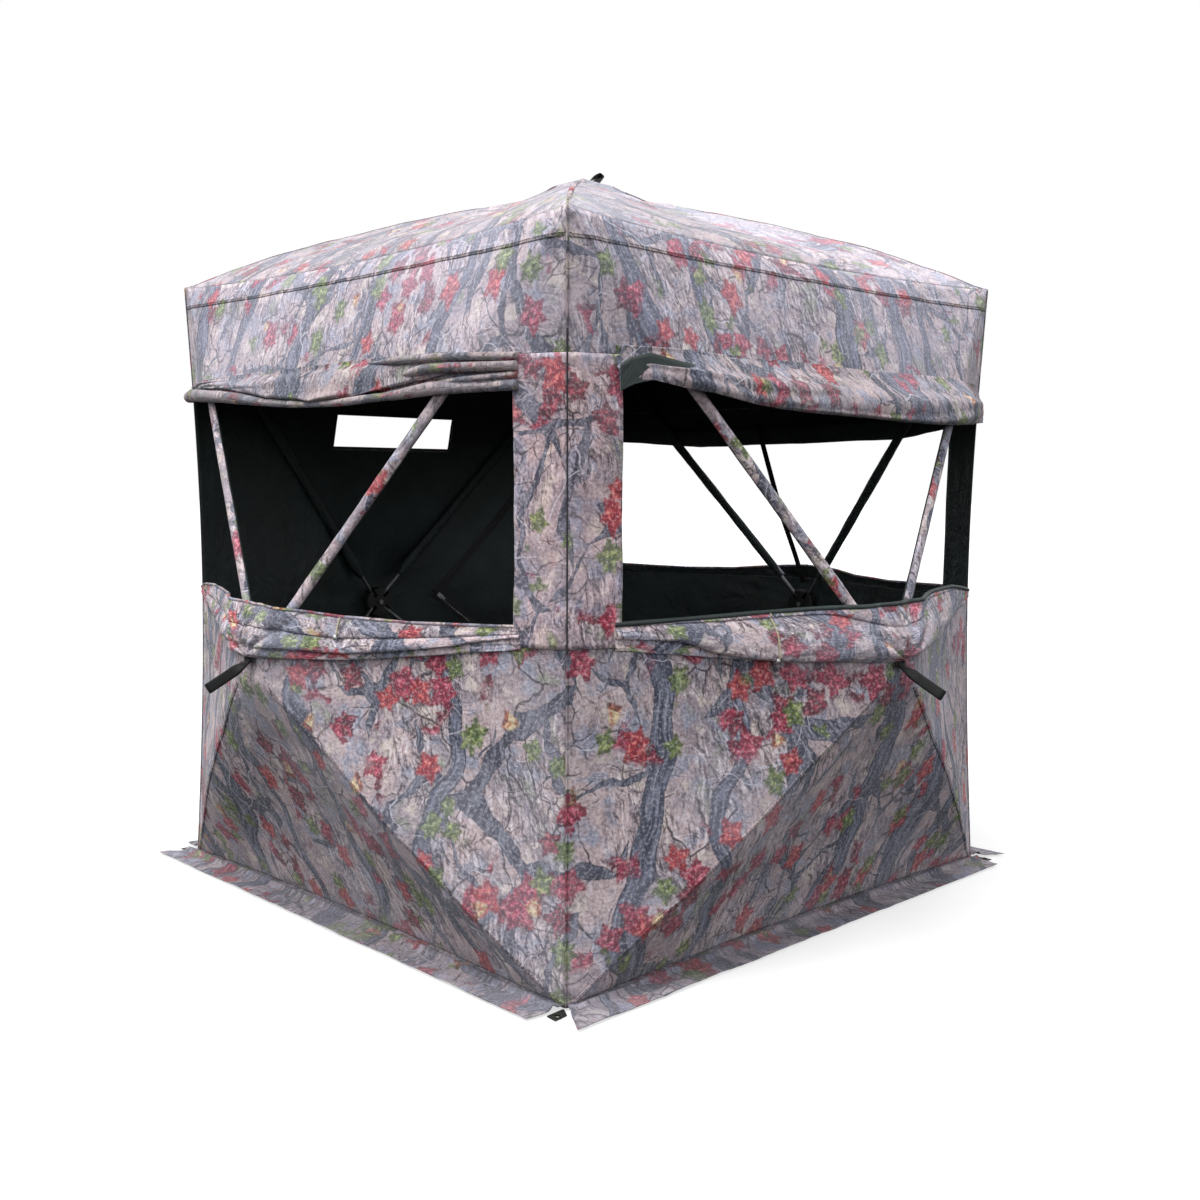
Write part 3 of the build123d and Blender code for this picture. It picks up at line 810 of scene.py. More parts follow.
def lining(name):
    graph = Material(name)
    cloth = graph.cloth()
    broad = cloth.noise(scale=3.0, rough=0.6)
    fine = cloth.noise(scale=300.0, rough=0.6)
    crease = cloth.noise(scale=20.0, detail=3.0, rough=0.6, warp=0.9)
    colour = graph.paint((37, 45, 45), (broad.ramp(0.35, 0.7), (52, 62, 61)),
                         (fine.ramp(0.4, 0.7, high=0.3), (54, 60, 58)))
    relief = fabric_height(cloth, fine, crease, fuzz=0.0003, fold=0.006)
    return graph.finish(colour, broad.ramp(0.3, 0.7, low=0.48, high=0.62),
                        Normal=relief.bump(strength=0.8, distance=1.0), Specular_IOR_Level=0.38)


def webbing(name, tone=(17, 19, 20), rib=0.0024, yarn=0.0017):
    graph = Material(name)
    cloth = graph.cloth()
    x, y, _ = cloth.xyz()
    ribs = abs((y * (math.pi / rib)).sine())
    twill = abs((x * (math.pi / yarn) + y * (math.pi / rib)).sine())
    relief = ribs * (0.5 + twill * 0.5)
    fuzz = cloth.noise(scale=500.0)
    # painted shade: darker down in the grooves between the ribs
    colour = graph.paint(darker(tone, 0.55), (relief.ramp(0.2, 0.9), tone),
                         (fuzz.ramp(0.58, 0.78, high=0.25), (50, 54, 56)))
    return graph.finish(colour, 0.66, Normal=relief.bump(strength=0.55, distance=0.0007),
                        Sheen_Weight=0.04, Specular_IOR_Level=0.3)


def narrow_tape(name, tone=None, tint=None):
    """Tape, thread or cord: plain in a tone, or else printed and tinted."""
    graph = Material(name)
    cloth = graph.cloth()
    fine = cloth.noise(scale=260.0, detail=3.0)
    if tone is None:
        colour = print_colour(graph, cloth, tint)
    else:
        colour = graph.mix(fine.ramp(0.4, 0.7, high=0.4), tone, lighter(tone, 26))
    relief = weave(cloth) + fine
    return graph.finish(colour, 0.85, Normal=relief.bump(strength=0.4, distance=0.0005))


def plastic(name, tone, rough=0.42):
    """Moulded plastic with edges worn lighter."""
    graph = Material(name)
    point = graph.object_place()
    pores = point.noise(scale=900.0, rough=0.6, solid=True)
    broad = point.noise(scale=24.0, detail=4.0, rough=0.6, solid=True)
    bevel = graph.node("ShaderNodeBevel", {"Radius": 0.0015})[0]
    normal = graph.node("ShaderNodeNewGeometry")[1]
    flatness = graph.node("ShaderNodeVectorMath", {0: bevel, 1: normal},
                          operation="DOT_PRODUCT")[1]
    colour = graph.paint(tone, (broad.ramp(0.45, 0.7, high=0.5), lighter(tone, 22)),
                         (flatness.ramp(0.985, 0.90, high=0.6), lighter(tone, 46)))
    return graph.finish(colour, broad.ramp(0.3, 0.7, low=rough, high=rough + 0.2),
                        Normal=pores.bump(strength=0.18, distance=0.0004))


def glass_rod(name):
    """Dark pultruded rod, streaked along z."""
    graph = Material(name)
    point = graph.object_place()
    pores = point.noise(scale=700.0, solid=True)
    streak = (point * (30, 30, 3)).noise(scale=12.0, detail=3.0, solid=True)
    colour = graph.mix(streak.ramp(0.4, 0.65), (22, 23, 24), (44, 45, 46))
    return graph.finish(colour, streak.ramp(0.3, 0.7, low=0.28, high=0.5),
                        Normal=pores.bump(strength=0.12, distance=0.0003), Coat_Weight=0.25)


def metal(name, tone, rough):
    graph = Material(name)
    point = graph.object_place()
    fine = point.noise(scale=260.0, detail=4.0, rough=0.65, solid=True)
    broad = point.noise(scale=40.0, detail=4.0, rough=0.6, solid=True)
    colour = graph.mix(broad.ramp(0.5, 0.75, high=0.45), tone, darker(tone, 0.6))
    return graph.finish(colour, fine.ramp(0.3, 0.7, low=rough, high=rough + 0.25),
                        Normal=fine.bump(strength=0.12, distance=0.0003), Metallic=1.0)


CAMO = camo("camo_print", high=0.11)
# the roof's lighter tint and its fade paint the highlight of the strong light from above
CAMO_ROOF = camo("camo_print_roof", tint=(1.12,) * 3, fade=0.26, offset=(3.1, 5.2, 0))
CAMO_STRIP = camo("camo_print_strip", tint=(1.16, 1.08, 1.08), offset=(1.37, 0.61, 0), high=0.15)
CAMO_GROUND = camo("camo_print_ground", tint=(0.60, 0.63, 0.70), offset=(5.6, 7.1, 0))
CAMO_COVER = camo("camo_print_cover", tint=(1.10,) * 3, offset=(4.7, 3.3, 0))
CAMO_SLEEVE = camo("camo_print_sleeve", tint=(1.05,) * 3, offset=(6.2, 2.4, 0))
# the flap print is darkened, a painted shade of the gathered roll
CAMO_FLAP = camo("camo_print_flap", tint=(0.85,) * 3, offset=(2.2, 8.4, 0))
LINING = lining("black_lining")
WEBBING = webbing("black_webbing")
TAPE_DARK = narrow_tape("seam_tape_dark", tone=(44, 42, 46))
TAPE_CAMO = narrow_tape("seam_tape_camo", tint=(0.74,) * 3)
TAPE_SOFT = narrow_tape("seam_tape_soft", tint=(0.93,) * 3)
THREAD = narrow_tape("thread", tone=(70, 62, 66))
CORD = narrow_tape("elastic_cord", tone=(186, 176, 146))
HUB_NYLON = plastic("moulded_nylon", tone=(20, 20, 21))
CAP_NYLON = plastic("hub_cap_nylon", tone=(24, 24, 25), rough=0.36)
ROD = glass_rod("glass_rod")
STEEL = metal("nickel_plate", tone=(196, 196, 198), rough=0.22)
BOLT = metal("zinc_bolt", tone=(150, 150, 152), rough=0.35)
BRASS = metal("blackened_brass", tone=(92, 88, 78), rough=0.4)


# ------------------------------------------------------------------ wall cloth
def upright_cuts(*places):
    return [((x, 0), (1, 0)) for x in places]


def level_cuts(*heights):
    return [((0, z), (0, 1)) for z in heights]


def door_cuts(gap=0.0):
    """Along the door's two sloping edges, moved in by a gap."""
    return [((-DOOR_X - gap, DOOR_Z), (-normal[0], normal[1]))
            for normal in (UPPER_NORMAL, LOWER_NORMAL)]


def in_door(x, z):
    across, up = -x - DOOR_X, z - DOOR_Z
    return (across * UPPER_NORMAL[0] + up * UPPER_NORMAL[1] > 0
            and across * LOWER_NORMAL[0] + up * LOWER_NORMAL[1] > 0 and -x < DOOR_HINGE)


def wall_cloth(wall):
    cuts = [((0, HUB_Z), (sign * normal[0], normal[1]))
            for normal in (UPPER_NORMAL, LOWER_NORMAL) for sign in (1, -1)]
    if wall in OPEN:
        x_from, x_to = OPEN[wall]
        cuts += level_cuts(SILL_Z, SEAM_Z) + upright_cuts(x_from, x_to)

        def keep(x, z):
            return not (x_from < x < x_to and SILL_Z < z < SEAM_Z)
    else:
        cuts += upright_cuts(*SLOT[:2]) + level_cuts(*SLOT[2:])
        cuts += door_cuts() + upright_cuts(-DOOR_HINGE)

        def keep(x, z):
            return not (SLOT[0] < x < SLOT[1] and SLOT[2] < z < SLOT[3]) and not in_door(x, z)
    bag = Bag()
    bag.wall_sheet(wall, *flat_sheet(-HALF, HALF, 0.004, EAVE, STEP, cuts, keep))
    ob = bag.hang(f"{wall}_wall_cloth", [CAMO, LINING])
    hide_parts(f"{wall}_wall_panel", f"{wall}_left_side_panel", f"{wall}_right_side_panel")


for wall in WALLS:
    wall_cloth(wall)


# ------------------------------------------------------------------ roof cloth
def roof_cloth():
    count = int(round(2 * HALF / STEP))
    count += count % 2
    line = np.linspace(-HALF, HALF, count + 1)
    x, y = np.meshgrid(line, line, indexing="ij")
    faces = []
    for a, b, c, d in grid_faces(count + 1, count + 1):
        i, j = divmod(a, count + 1)
        # squares on the diagonals split along them, where the poles lie
        if i == j:
            faces += [(a, b, c), (a, c, d)]
        elif i + j == count - 1:
            faces += [(a, b, d), (b, c, d)]
        else:
            faces.append((a, b, c, d))
    bag = Bag()
    bag.sheet(np.stack(roof_shape(x, y), -1), np.stack([x, y], -1), faces,
              roof_follow(x, y), (0, 0, 1.0))
    ob = bag.hang("roof_cloth", [CAMO_ROOF, LINING])
    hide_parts("roof_panel")


roof_cloth()

# ------------------------------------------------------------------ seams and pipings
TAPE_COLUMNS = np.array([-0.5, -0.25, 0, 0.25, 0.5])[:, None]   # shares of the tape's width
TAPE_THICK = 0.0011
STITCH, STITCH_PITCH = 0.0042, 0.0075


def corner_piping(wall):
    """Piping on the wall's +x corner, dark over the middle heights."""
    sides = 8
    z = np.linspace(0.006, EAVE - 0.002, 110)
    x, out, moved_z = wall_shape(wall, np.full_like(z, HALF), z, wrinkle=False)
    slim = (z > 0.69) & (z < 1.32)
    bag = Bag()
    bag.tube(place(wall, x + 0.0004, out + 0.0004, moved_z), np.where(slim, 0.0019, 0.0023), 1,
             sides=sides,
             cloth=around(z, 0.012, sides)[:, ::-1] + (HALF + CLOTH_START[wall], 0))
    heights = bag.points[0][:, 2]
    bag.slots = [0 if 0.69 < np.mean(heights[list(face)]) < 1.30 else 1 for face in bag.faces]
    bag.fix(f"{wall}_corner_piping", [TAPE_DARK, TAPE_CAMO], "root")


def tape(bag, wall, x, z, width, lift, slot=0, rows=(-0.33, 0.33)):
    """A narrow raised tape along a line, with rows of stitches at shares of its width."""
    slope_x, slope_z = np.gradient(x), np.gradient(z)
    length = np.hypot(slope_x, slope_z)
    slope_x, slope_z = slope_x / length, slope_z / length
    run = run_length(np.stack([x, z], -1))

    def beside(share):
        return x - slope_z * share * width, z + slope_x * share * width

    def within(x, z):
        return np.clip(x, -HALF, HALF), np.clip(z, 0.005, EAVE)

    bag.wall_sheet(wall, *within(*beside(TAPE_COLUMNS)),
                   grid_faces(len(TAPE_COLUMNS), len(x), rows_first=False),
                   thick=TAPE_THICK, outer=slot, inner=slot, lift=lift)
    arch = lift + np.array([-0.0001, 0.0007, -0.0001])
    for share in rows:
        row_x, row_z = beside(share)
        start = 0.0
        while start < run[-1] - 0.004:
            at = [start, start + STITCH / 2, start + STITCH]
            stitch_x, stitch_z = within(np.interp(at, run, row_x), np.interp(at, run, row_z))
            bag.tube(on_wall(wall, stitch_x, stitch_z, arch), 0.00065, 1, sides=4,
                     follow=wall_follow(stitch_x, stitch_z), capped=False)
            start += STITCH_PITCH


def wall_seams(wall):
    bag = Bag()
    # top seam under the eave
    x = np.linspace(-HALF + 0.004, HALF - 0.004, 130)
    tape(bag, wall, x, np.full_like(x, EAVE - 0.055) + 0.0015 * NOISE[wall](x * 6, 2.0),
         width=0.009, lift=0.0010)
    if wall in OPEN:
        # hem where the upper band ends
        tape(bag, wall, x, np.full_like(x, SEAM_Z + 0.004), width=0.012, lift=0.0014, rows=(0.0,))
    # pole seams, closed parts of the wall
    share = np.linspace(0.09, 0.985, 90)
    heights = [HUB_Z * (1 - share)]
    if wall not in OPEN:
        heights.append(HUB_Z + (EAVE - HUB_Z) * share)
    for sign in (-1, 1):
        for z in heights:
            tape(bag, wall, sign * HALF * share, z, width=0.009, lift=0.0008, slot=3,
                 rows=(-0.35, 0.35))
    if wall == "left":
        # binding round the slot
        left, right, low, high = SLOT
        corners = [(left, low), (right, low), (right, high), (left, high), (left, low)]
        share = np.linspace(0, 1, 30)
        for (x0, z0), (x1, z1) in zip(corners, corners[1:]):
            tape(bag, wall, x0 + (x1 - x0) * share, z0 + (z1 - z0) * share, width=0.014,
                 lift=0.0016, slot=2, rows=(0.2,))
    bag.hang(f"{wall}_seams", [TAPE_CAMO, THREAD, TAPE_DARK, TAPE_SOFT])


def roof_seams():
    """Ridge tapes over the four roof poles."""
    bag = Bag()
    share = np.linspace(0.07, 0.99, 100)
    beside = TAPE_COLUMNS * 0.012 * 0.7071
    for sign_x, sign_y in ((1, 1), (1, -1), (-1, 1), (-1, -1)):
        x = np.clip(sign_x * HALF * share - sign_y * beside, -HALF, HALF)
        y = np.clip(sign_y * HALF * share + sign_x * beside, -HALF, HALF)
        bag.sheet(np.stack(roof_shape(x, y), -1), np.stack([x, y], -1),
                  grid_faces(len(TAPE_COLUMNS), len(share), rows_first=False),
                  roof_follow(x, y), (0, 0, 1.0), thick=TAPE_THICK, inner=0, lift=0.0013)
    bag.hang("roof_seams", [TAPE_SOFT])


for wall in WALLS:
    corner_piping(wall)
    wall_seams(wall)
roof_seams()


# ------------------------------------------------------------------ corner strips
def corner_strip(wall, sign):
    x_from, x_to = (INNER_END, HALF) if sign > 0 else (-HALF, -INNER_END)
    x, z, faces = flat_sheet(x_from, x_to, 0.700, SEAM_Z + 0.006, STEP * 0.8)
    side = np.abs(x)
    out = (0.0035 * smooth(HALF - 0.001, HALF - 0.02, side)
           + 0.002 * NOISE[wall](x * 20, z * 6) * smooth(HALF, HALF - 0.05, side))
    bag = Bag()
    bag.wall_sheet(wall, x, z, faces, out, lift=0.0016)
    bag.hang(f"{wall}_corner_strip_{'right' if sign > 0 else 'left'}", [CAMO_STRIP, LINING])


for wall, sign in (("front", 1), ("right", -1), ("back", 1), ("back", -1)):
    corner_strip(wall, sign)

# ------------------------------------------------------------------ upper window flaps, gathered
FLAP_RANGE = {"front": (-HALF + 0.014, INNER_END + 0.014), "right": (-INNER_END - 0.014, HALF - 0.010),
              "back": (-INNER_END - 0.014, INNER_END + 0.014)}
# lower edge: x, then z
FLAP_EDGE = {
    "front": ((-0.75, -0.62, -0.41, -0.30, -0.19, -0.08, 0.0, 0.146, 0.285, 0.45, 0.64),
              (1.242, 1.238, 1.224, 1.212, 1.201, 1.192, 1.188, 1.189, 1.192, 1.200, 1.203)),
    "right": ((-0.66, -0.627, -0.589, -0.525, -0.43, -0.34, -0.25, -0.04, 0.17, 0.42, 0.54, 0.76),
              (1.188, 1.206, 1.216, 1.202, 1.189, 1.178, 1.171, 1.167, 1.161, 1.161, 1.168, 1.182)),
    "back": ((-0.66, -0.40, 0.0, 0.36, 0.66), (1.176, 1.148, 1.142, 1.138, 1.160)),
}
# front flap, underside and top of its roll: x, then z
FRONT_ROLL_LOW = ((-0.75, -0.62, -0.485, -0.387, -0.28, -0.171, 0.02, 0.167, 0.344, 0.503, 0.655),
                  (1.254, 1.252, 1.247, 1.239, 1.224, 1.208, 1.192, 1.197, 1.212, 1.227, 1.229))
FRONT_ROLL_TOP = ((-0.75, -0.52, -0.33, 0.20, 0.46, 0.64),
                  (1.272, 1.272, 1.276, 1.279, 1.275, 1.266))
# tube along the front flap's lower edge: x, then radius
FRONT_HEM = ((-0.75, -0.62, -0.41, -0.19, 0.0, 0.146, 0.285, 0.42, 0.52, 0.64),
             (0.0155, 0.0165, 0.0150, 0.0098, 0.0068, 0.0085, 0.0092, 0.0125, 0.0130, 0.0105))
# layers that gather towards the front corner strip: x, z, radius, outward place
FRONT_LAYERS = (((0.20, 0.45, 0.64), (1.268, 1.263, 1.257), 0.0084, 0.016),
                ((0.30, 0.45, 0.64), (1.232, 1.240, 1.239), 0.0098, 0.024),
                ((0.42, 0.52, 0.64), (1.206, 1.214, 1.2215), 0.0070, 0.026),
                ((0.40, 0.52, 0.64), (1.204, 1.207, 1.2095), 0.0052, 0.024))


def spline(controls, count):
    """Catmull-Rom through control rows: (rows, points, 2) to (rows, count, 2)."""
    ends = 2 * controls[:, :1] - controls[:, 1:2], 2 * controls[:, -1:] - controls[:, -2:-1]
    padded = np.concatenate([ends[0], controls, ends[1]], 1)
    place_along = np.linspace(0, controls.shape[1] - 1 - 1e-9, count)
    i = place_along.astype(int)
    t = (place_along - i)[None, :, None]
    p0, p1, p2, p3 = (padded[:, i + k] for k in range(4))
    return 0.5 * (2 * p1 + (p2 - p0) * t + (2 * p0 - 5 * p1 + 4 * p2 - p3) * t ** 2
                  + (3 * p1 - p0 - 3 * p2 + p3) * t ** 3)


def front_flap_tubes(bag, x, edge, full):
    """The hem tube under the gathered cloth, and the layers by the corner strip."""
    noise = NOISE["front"]
    sides = 14
    radius = np.interp(x, *FRONT_HEM) * (1 + 0.10 * noise(x * 8, 1.0) + 0.06 * noise(x * 23, 6.0))
    out = (0.006 + 0.004 * full + 0.0015 * noise(x * 4, 8.0)) * 0.5 + radius * 0.55
    bag.tube(on_wall("front", x, edge, out, wrinkle=False), radius, 0, sides=sides,
             follow=wall_follow(x, edge), cloth=around(x + CLOTH_START["front"] + 0.5, 0.05, sides))
    sides = 10
    for k, (knots, heights, radius, out) in enumerate(FRONT_LAYERS):
        layer_x = np.linspace(knots[0], FLAP_RANGE["front"][1], 50)
        z = np.interp(layer_x, knots, heights)
        grow = smooth(knots[0], knots[0] + 0.14, layer_x)
        out = out * np.interp(layer_x, x, full) * grow + 0.004
        bag.tube(on_wall("front", layer_x, z, out, wrinkle=False), radius * (0.30 + 0.70 * grow),
                 0, sides=sides, follow=wall_follow(layer_x, z),
                 cloth=around(layer_x + CLOTH_START["front"] + 0.3 * k, 0.04, sides))


def upper_flap(wall):
    noise = NOISE[wall]
    x_from, x_to = FLAP_RANGE[wall]
    x = np.linspace(x_from, x_to, max(60, int((x_to - x_from) / (STEP * 0.55))))
    edge = np.interp(x, *FLAP_EDGE[wall]) + 0.0022 * noise(x * 5, 2.0)
    # fullness of the roll: thin where it meets a corner strip
    full = np.ones_like(x)
    if wall in ("front", "back"):
        full = full * smooth(INNER_END + 0.03, INNER_END - 0.30, x)
    if wall in ("right", "back"):
        full = full * smooth(-INNER_END - 0.03, -INNER_END + 0.20, x)
    full = 0.30 + 0.70 * full
    lump = 1 + 0.22 * noise(x * 2.2 + 4, 0.5) + 0.10 * noise(x * 7.0, 3.3)
    # section as (z, outward) controls from the top; the lining shows past `dark`
    if wall == "front":
        dark = 0.84
        low = np.interp(x, *FRONT_ROLL_LOW) + 0.004
        top = np.interp(x, *FRONT_ROLL_TOP)
        deep = np.clip((top - low) / 0.046, 0.3, 1.0)
        section = ((top, 0.0014), (top - 0.010 * deep, 0.006 * full * lump),
                   (top - 0.026 * deep, 0.021 * full * lump * deep),
                   (low + 0.008 * deep, 0.027 * full * lump * deep),
                   (low - 0.002, 0.018 * full), (low + 0.003, 0.006 * full),
                   (edge + 0.012, 0.0), (edge + 0.003, 0.001))
    else:
        dark = 0.76
        thick = 0.047 if wall == "right" else 0.036
        if wall == "right":
            full = full * (1 - 0.45 * smooth(HALF - 0.24, HALF - 0.02, x))
        top = 1.278 + 0.003 * noise(x * 4, 4.0)
        section = ((top, 0.0010), (top - 0.016, 0.010 * full * lump),
                   (top - 0.038, 0.62 * thick * full * lump),
                   (0.45 * top + 0.55 * edge, thick * full * lump),
                   (edge + 0.012, 0.92 * thick * full * lump + 0.004),
                   (edge, 0.60 * thick * full + 0.008),
                   (edge + 0.005, 0.22 * thick * full + 0.012), (edge + 0.050, 0.0135))
    columns = 46
    controls = np.stack([np.stack(np.broadcast_arrays(*pair), -1) for pair in section], 1)
    smoothed = spline(controls, columns)
    down = np.linspace(0, 1, columns)[None, :]
    body = np.sin(math.pi * np.clip(down * 1.15, 0, 1)) ** 0.7
    # folds that run along the wall, and short pleats where the cloth is gathered
    row_x = x[:, None]
    run = 1 - np.abs(noise(row_x * 1.5 + 2.0, down * 5.2 + row_x * 0.9)) ** 0.6
    pleat = noise(row_x * 26, down * 2.4 + 3.0)
    out = smoothed[..., 1] + body * full[:, None] * (
        -0.010 * run + 0.0030 * pleat + 0.0025 * noise(row_x * 9, down * 6))
    out = np.maximum(out, np.where(down < 0.55, 0.0012, -0.004))
    z = smoothed[..., 0] + body * 0.0016 * noise(row_x * 20, down * 3 + 8)
    wide_x = np.repeat(row_x, columns, 1)
    cloth = np.stack([wide_x + CLOTH_START[wall] + 0.9,
                      1.9 - run_length(np.stack([z, out], -1))], -1)
    slots = [0 if j < dark * (columns - 1) else 1 for j in range(columns - 1)] * (len(x) - 1)
    bag = Bag()
    bag.sheet(on_wall(wall, wide_x, z, out, wrinkle=False), cloth, grid_faces(len(x), columns),
              wall_follow(wide_x, z), OUTWARD[wall], thick=0.0014, outer=slots)
    if wall == "front":
        front_flap_tubes(bag, x, edge, full)
    bag.hang(f"{wall}_upper_flap", [CAMO_FLAP, LINING])


for wall in FLAP_RANGE:
    upper_flap(wall)

# ------------------------------------------------------------------ lower window covers, gathered
# distance from the hub line, then z; a far cover runs on to the wall's corner
COVER_LOW = ((0, 0.148, 0.25, 0.41, 0.63, 0.70), (0.636, 0.645, 0.651, 0.668, 0.692, 0.699))
# keyed by (right wall, far)
COVER_TOP = {
    (True, True): ((0, 0.15, 0.30, 0.49, 0.62, 0.75), (0.761, 0.764, 0.767, 0.763, 0.750, 0.735)),
    (True, False): ((0, 0.185, 0.314, 0.444, 0.655, 0.70),
                    (0.761, 0.760, 0.756, 0.751, 0.744, 0.743)),
    (False, True): ((0, 0.15, 0.45, 0.62, 0.75), (0.755, 0.757, 0.760, 0.750, 0.733)),
    (False, False): ((0, 0.14, 0.24, 0.40, 0.52, 0.64, 0.70),
                     (0.755, 0.747, 0.738, 0.734, 0.736, 0.739, 0.739)),
}
# creases of the near covers: distance from the hub line, then share of the cover's height
RIGHT_CREASE = ((0, 0.31, 0.40, 0.447, 0.49, 0.524, 0.66), (0.06, 0.06, 0.11, 0.18, 0.34, 0.45, 0.50))
LOWER_CREASE = ((0, 0.22, 0.335, 0.43, 0.51, 0.63, 0.66), (0.22, 0.21, 0.24, 0.29, 0.35, 0.58, 0.60))
UPPER_CREASE = ((0, 0.105, 0.20, 0.24, 0.39, 0.51, 0.63, 0.66),
                (0.62, 0.605, 0.56, 0.55, 0.61, 0.64, 0.71, 0.72))


def cover_creases(wall, far, row_x, side):
    """Share of height of the two creases, and depths of the three folds they part."""
    noise = NOISE[wall]
    if wall == "right":
        lower = (0.07 + 0.02 * noise(row_x * 2.5, 3.0)) if far else np.interp(side, *RIGHT_CREASE)
        return lower, 0.93 - 0.30 * smooth(0.22, 0.02, side), (0.009, 0.030, 0.008)
    depths = (0.012, 0.025, 0.015)
    if far:
        return (0.24 + 0.03 * noise(row_x * 2.5, 3.0),
                0.60 + 0.04 * noise(row_x * 2.1, 9.0), depths)
    return np.interp(side, *LOWER_CREASE), np.interp(side, *UPPER_CREASE), depths


def window_cover(wall, side_name, sign):
    noise = NOISE[wall]
    far = (wall, sign) in (("front", -1), ("right", 1))
    end = HALF - 0.001 if far else INNER_END + 0.014
    rows, columns = max(10, int(end / (STEP * 0.6))), 76
    x = sign * np.linspace(0, end, rows)
    row_x = x[:, None]
    side = np.abs(row_x)
    wide_x = np.repeat(row_x, columns, 1)
    up = np.linspace(0, 1, columns)[None, :]
    bottom = 0.636 + 0.082 * (side / HALF) ** 0.9 if far else np.interp(side, *COVER_LOW)
    top = np.interp(side, *COVER_TOP[wall == "right", far])
    flat_z = bottom + (top - bottom) * up
    # creases at two moving heights; the cloth between them sags over the crease below
    lower, upper, depths = cover_creases(wall, far, row_x, side)
    parts = [np.clip(part, 0, 1) for part in
             (up / lower, (up - lower) / (upper - lower), (up - upper) / (1 - upper))]
    swells = [np.sin(math.pi * parts[0] ** 0.62) ** 0.7,
              np.sin(math.pi * parts[1] ** 0.60) ** 0.7,
              np.sin(math.pi * parts[2] ** 0.45 * 0.93) ** 0.7]
    grow = 1 + 0.20 * noise(row_x * 3.0, 1.0)
    folds = [depths[0] * swells[0], depths[1] * swells[1] * grow, depths[2] * swells[2]]
    if far:
        taper = 0.35 + 0.65 * smooth(HALF - 0.02, HALF - 0.50, side)
    else:
        taper = 0.50 + 0.50 * smooth(INNER_END, INNER_END - 0.30, side)
    thin = np.clip((top - bottom) / 0.085, 0.35, 1.0)
    sag = sum(fold * (1 - part) for fold, part in zip(folds, parts)) * taper * thin
    out = sum(folds) * taper * thin
    # creases fan out of the hub
    radius = np.hypot(row_x, flat_z - COVER_ROOT_Z)
    angle = np.arctan2(flat_z - COVER_ROOT_Z, side)
    fan = np.abs(np.sin(angle * 5.5 + 1.2 * noise(angle * 2, 5.0)))
    near_hub = fall(radius, 0.17, 2)
    out = out * (1 - 0.75 * near_hub) + near_hub * (0.004 + 0.012 * fan)
    sag = sag * (1 - near_hub)
    out = (out + 0.0018 * noise.octaves(row_x * 14, up * 5) * smooth(0, 0.1, up)
           + 0.0016 * noise(row_x * 30, up * 2.0) * swells[0])
    out = out * smooth(0.0, 0.05, up) + 0.0028
    z = flat_z - 0.62 * sag * smooth(0, 0.03, up)
    points = on_wall(wall, wide_x, z, out, wrinkle=False)
    # gathered cloth: its length unfolds as the cover rises, except under an overhanging fold
    rise, bulge = np.diff(z, axis=1), np.diff(out, axis=1)
    length = np.hypot(rise, bulge)
    run = np.cumsum(length * (0.03 + 0.97 * smooth(-0.1, 0.5, rise / length)), axis=1)
    run = np.concatenate([np.zeros((rows, 1)), run], 1)
    cloth = np.stack([wide_x + CLOTH_START[wall],
                      0.9 * run_length(np.stack([z, out], -1)) + 0.9 * run + 0.3], -1)
    follow = np.clip((run / run[:, -1:] - 0.03) / 0.94, 0, 1)
    bag = Bag()
    bag.sheet(points, cloth, grid_faces(rows, columns), follow, OUTWARD[wall])
    if not far:
        # elastic cord down the cover, with a bead at its lower end
        cord_x, cord_end = (0.245, 0.56) if wall == "front" else (0.315, 0.10)
        row = int(np.argmin(np.abs(np.abs(x) - cord_x)))
        taken = np.arange(columns - 1, int(columns * cord_end), -3)
        line = points[row, taken] + OUTWARD[wall] * 0.0020
        bag.tube(line, 0.0016, 2, sides=7, follow=follow[row, taken])
        bead = (line[-1] + OUTWARD[wall] * 0.002
                + np.outer(np.linspace(0.007, -0.007, 9), (0, 0, 1.0)))
        roundness = np.clip(1 - (np.linspace(-1, 1, 9) * 0.96) ** 2, 0.02, 1)
        bag.tube(bead, 0.0052 * np.sqrt(roundness), 3, follow=follow[row, taken[-1]])
    cover = f"{wall}_{side_name}_window_cover"
    ob = bag.hang(f"{wall}_{side_name}_cover_cloth", [CAMO_COVER, LINING, CORD, STEEL])
    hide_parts(cover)
    # hem along the top edge, of lining on the right wall
    sides = 12
    radius, material = (0.0052, LINING) if wall == "right" else (0.0034, TAPE_SOFT)
    bag = Bag()
    bag.tube(on_wall(wall, x, z[:, -1], out[:, -1] - 0.001, wrinkle=False) + (0, 0, 0.001),
             radius * (1 + 0.15 * noise(x * 9, 2.0)), 0, sides=sides,
             cloth=around(x + CLOTH_START[wall], 0.03, sides))
    bag.fix(f"{wall}_{side_name}_cover_hem", [material], cover)


for wall in OPEN:
    window_cover(wall, "left", -1)
    window_cover(wall, "right", 1)


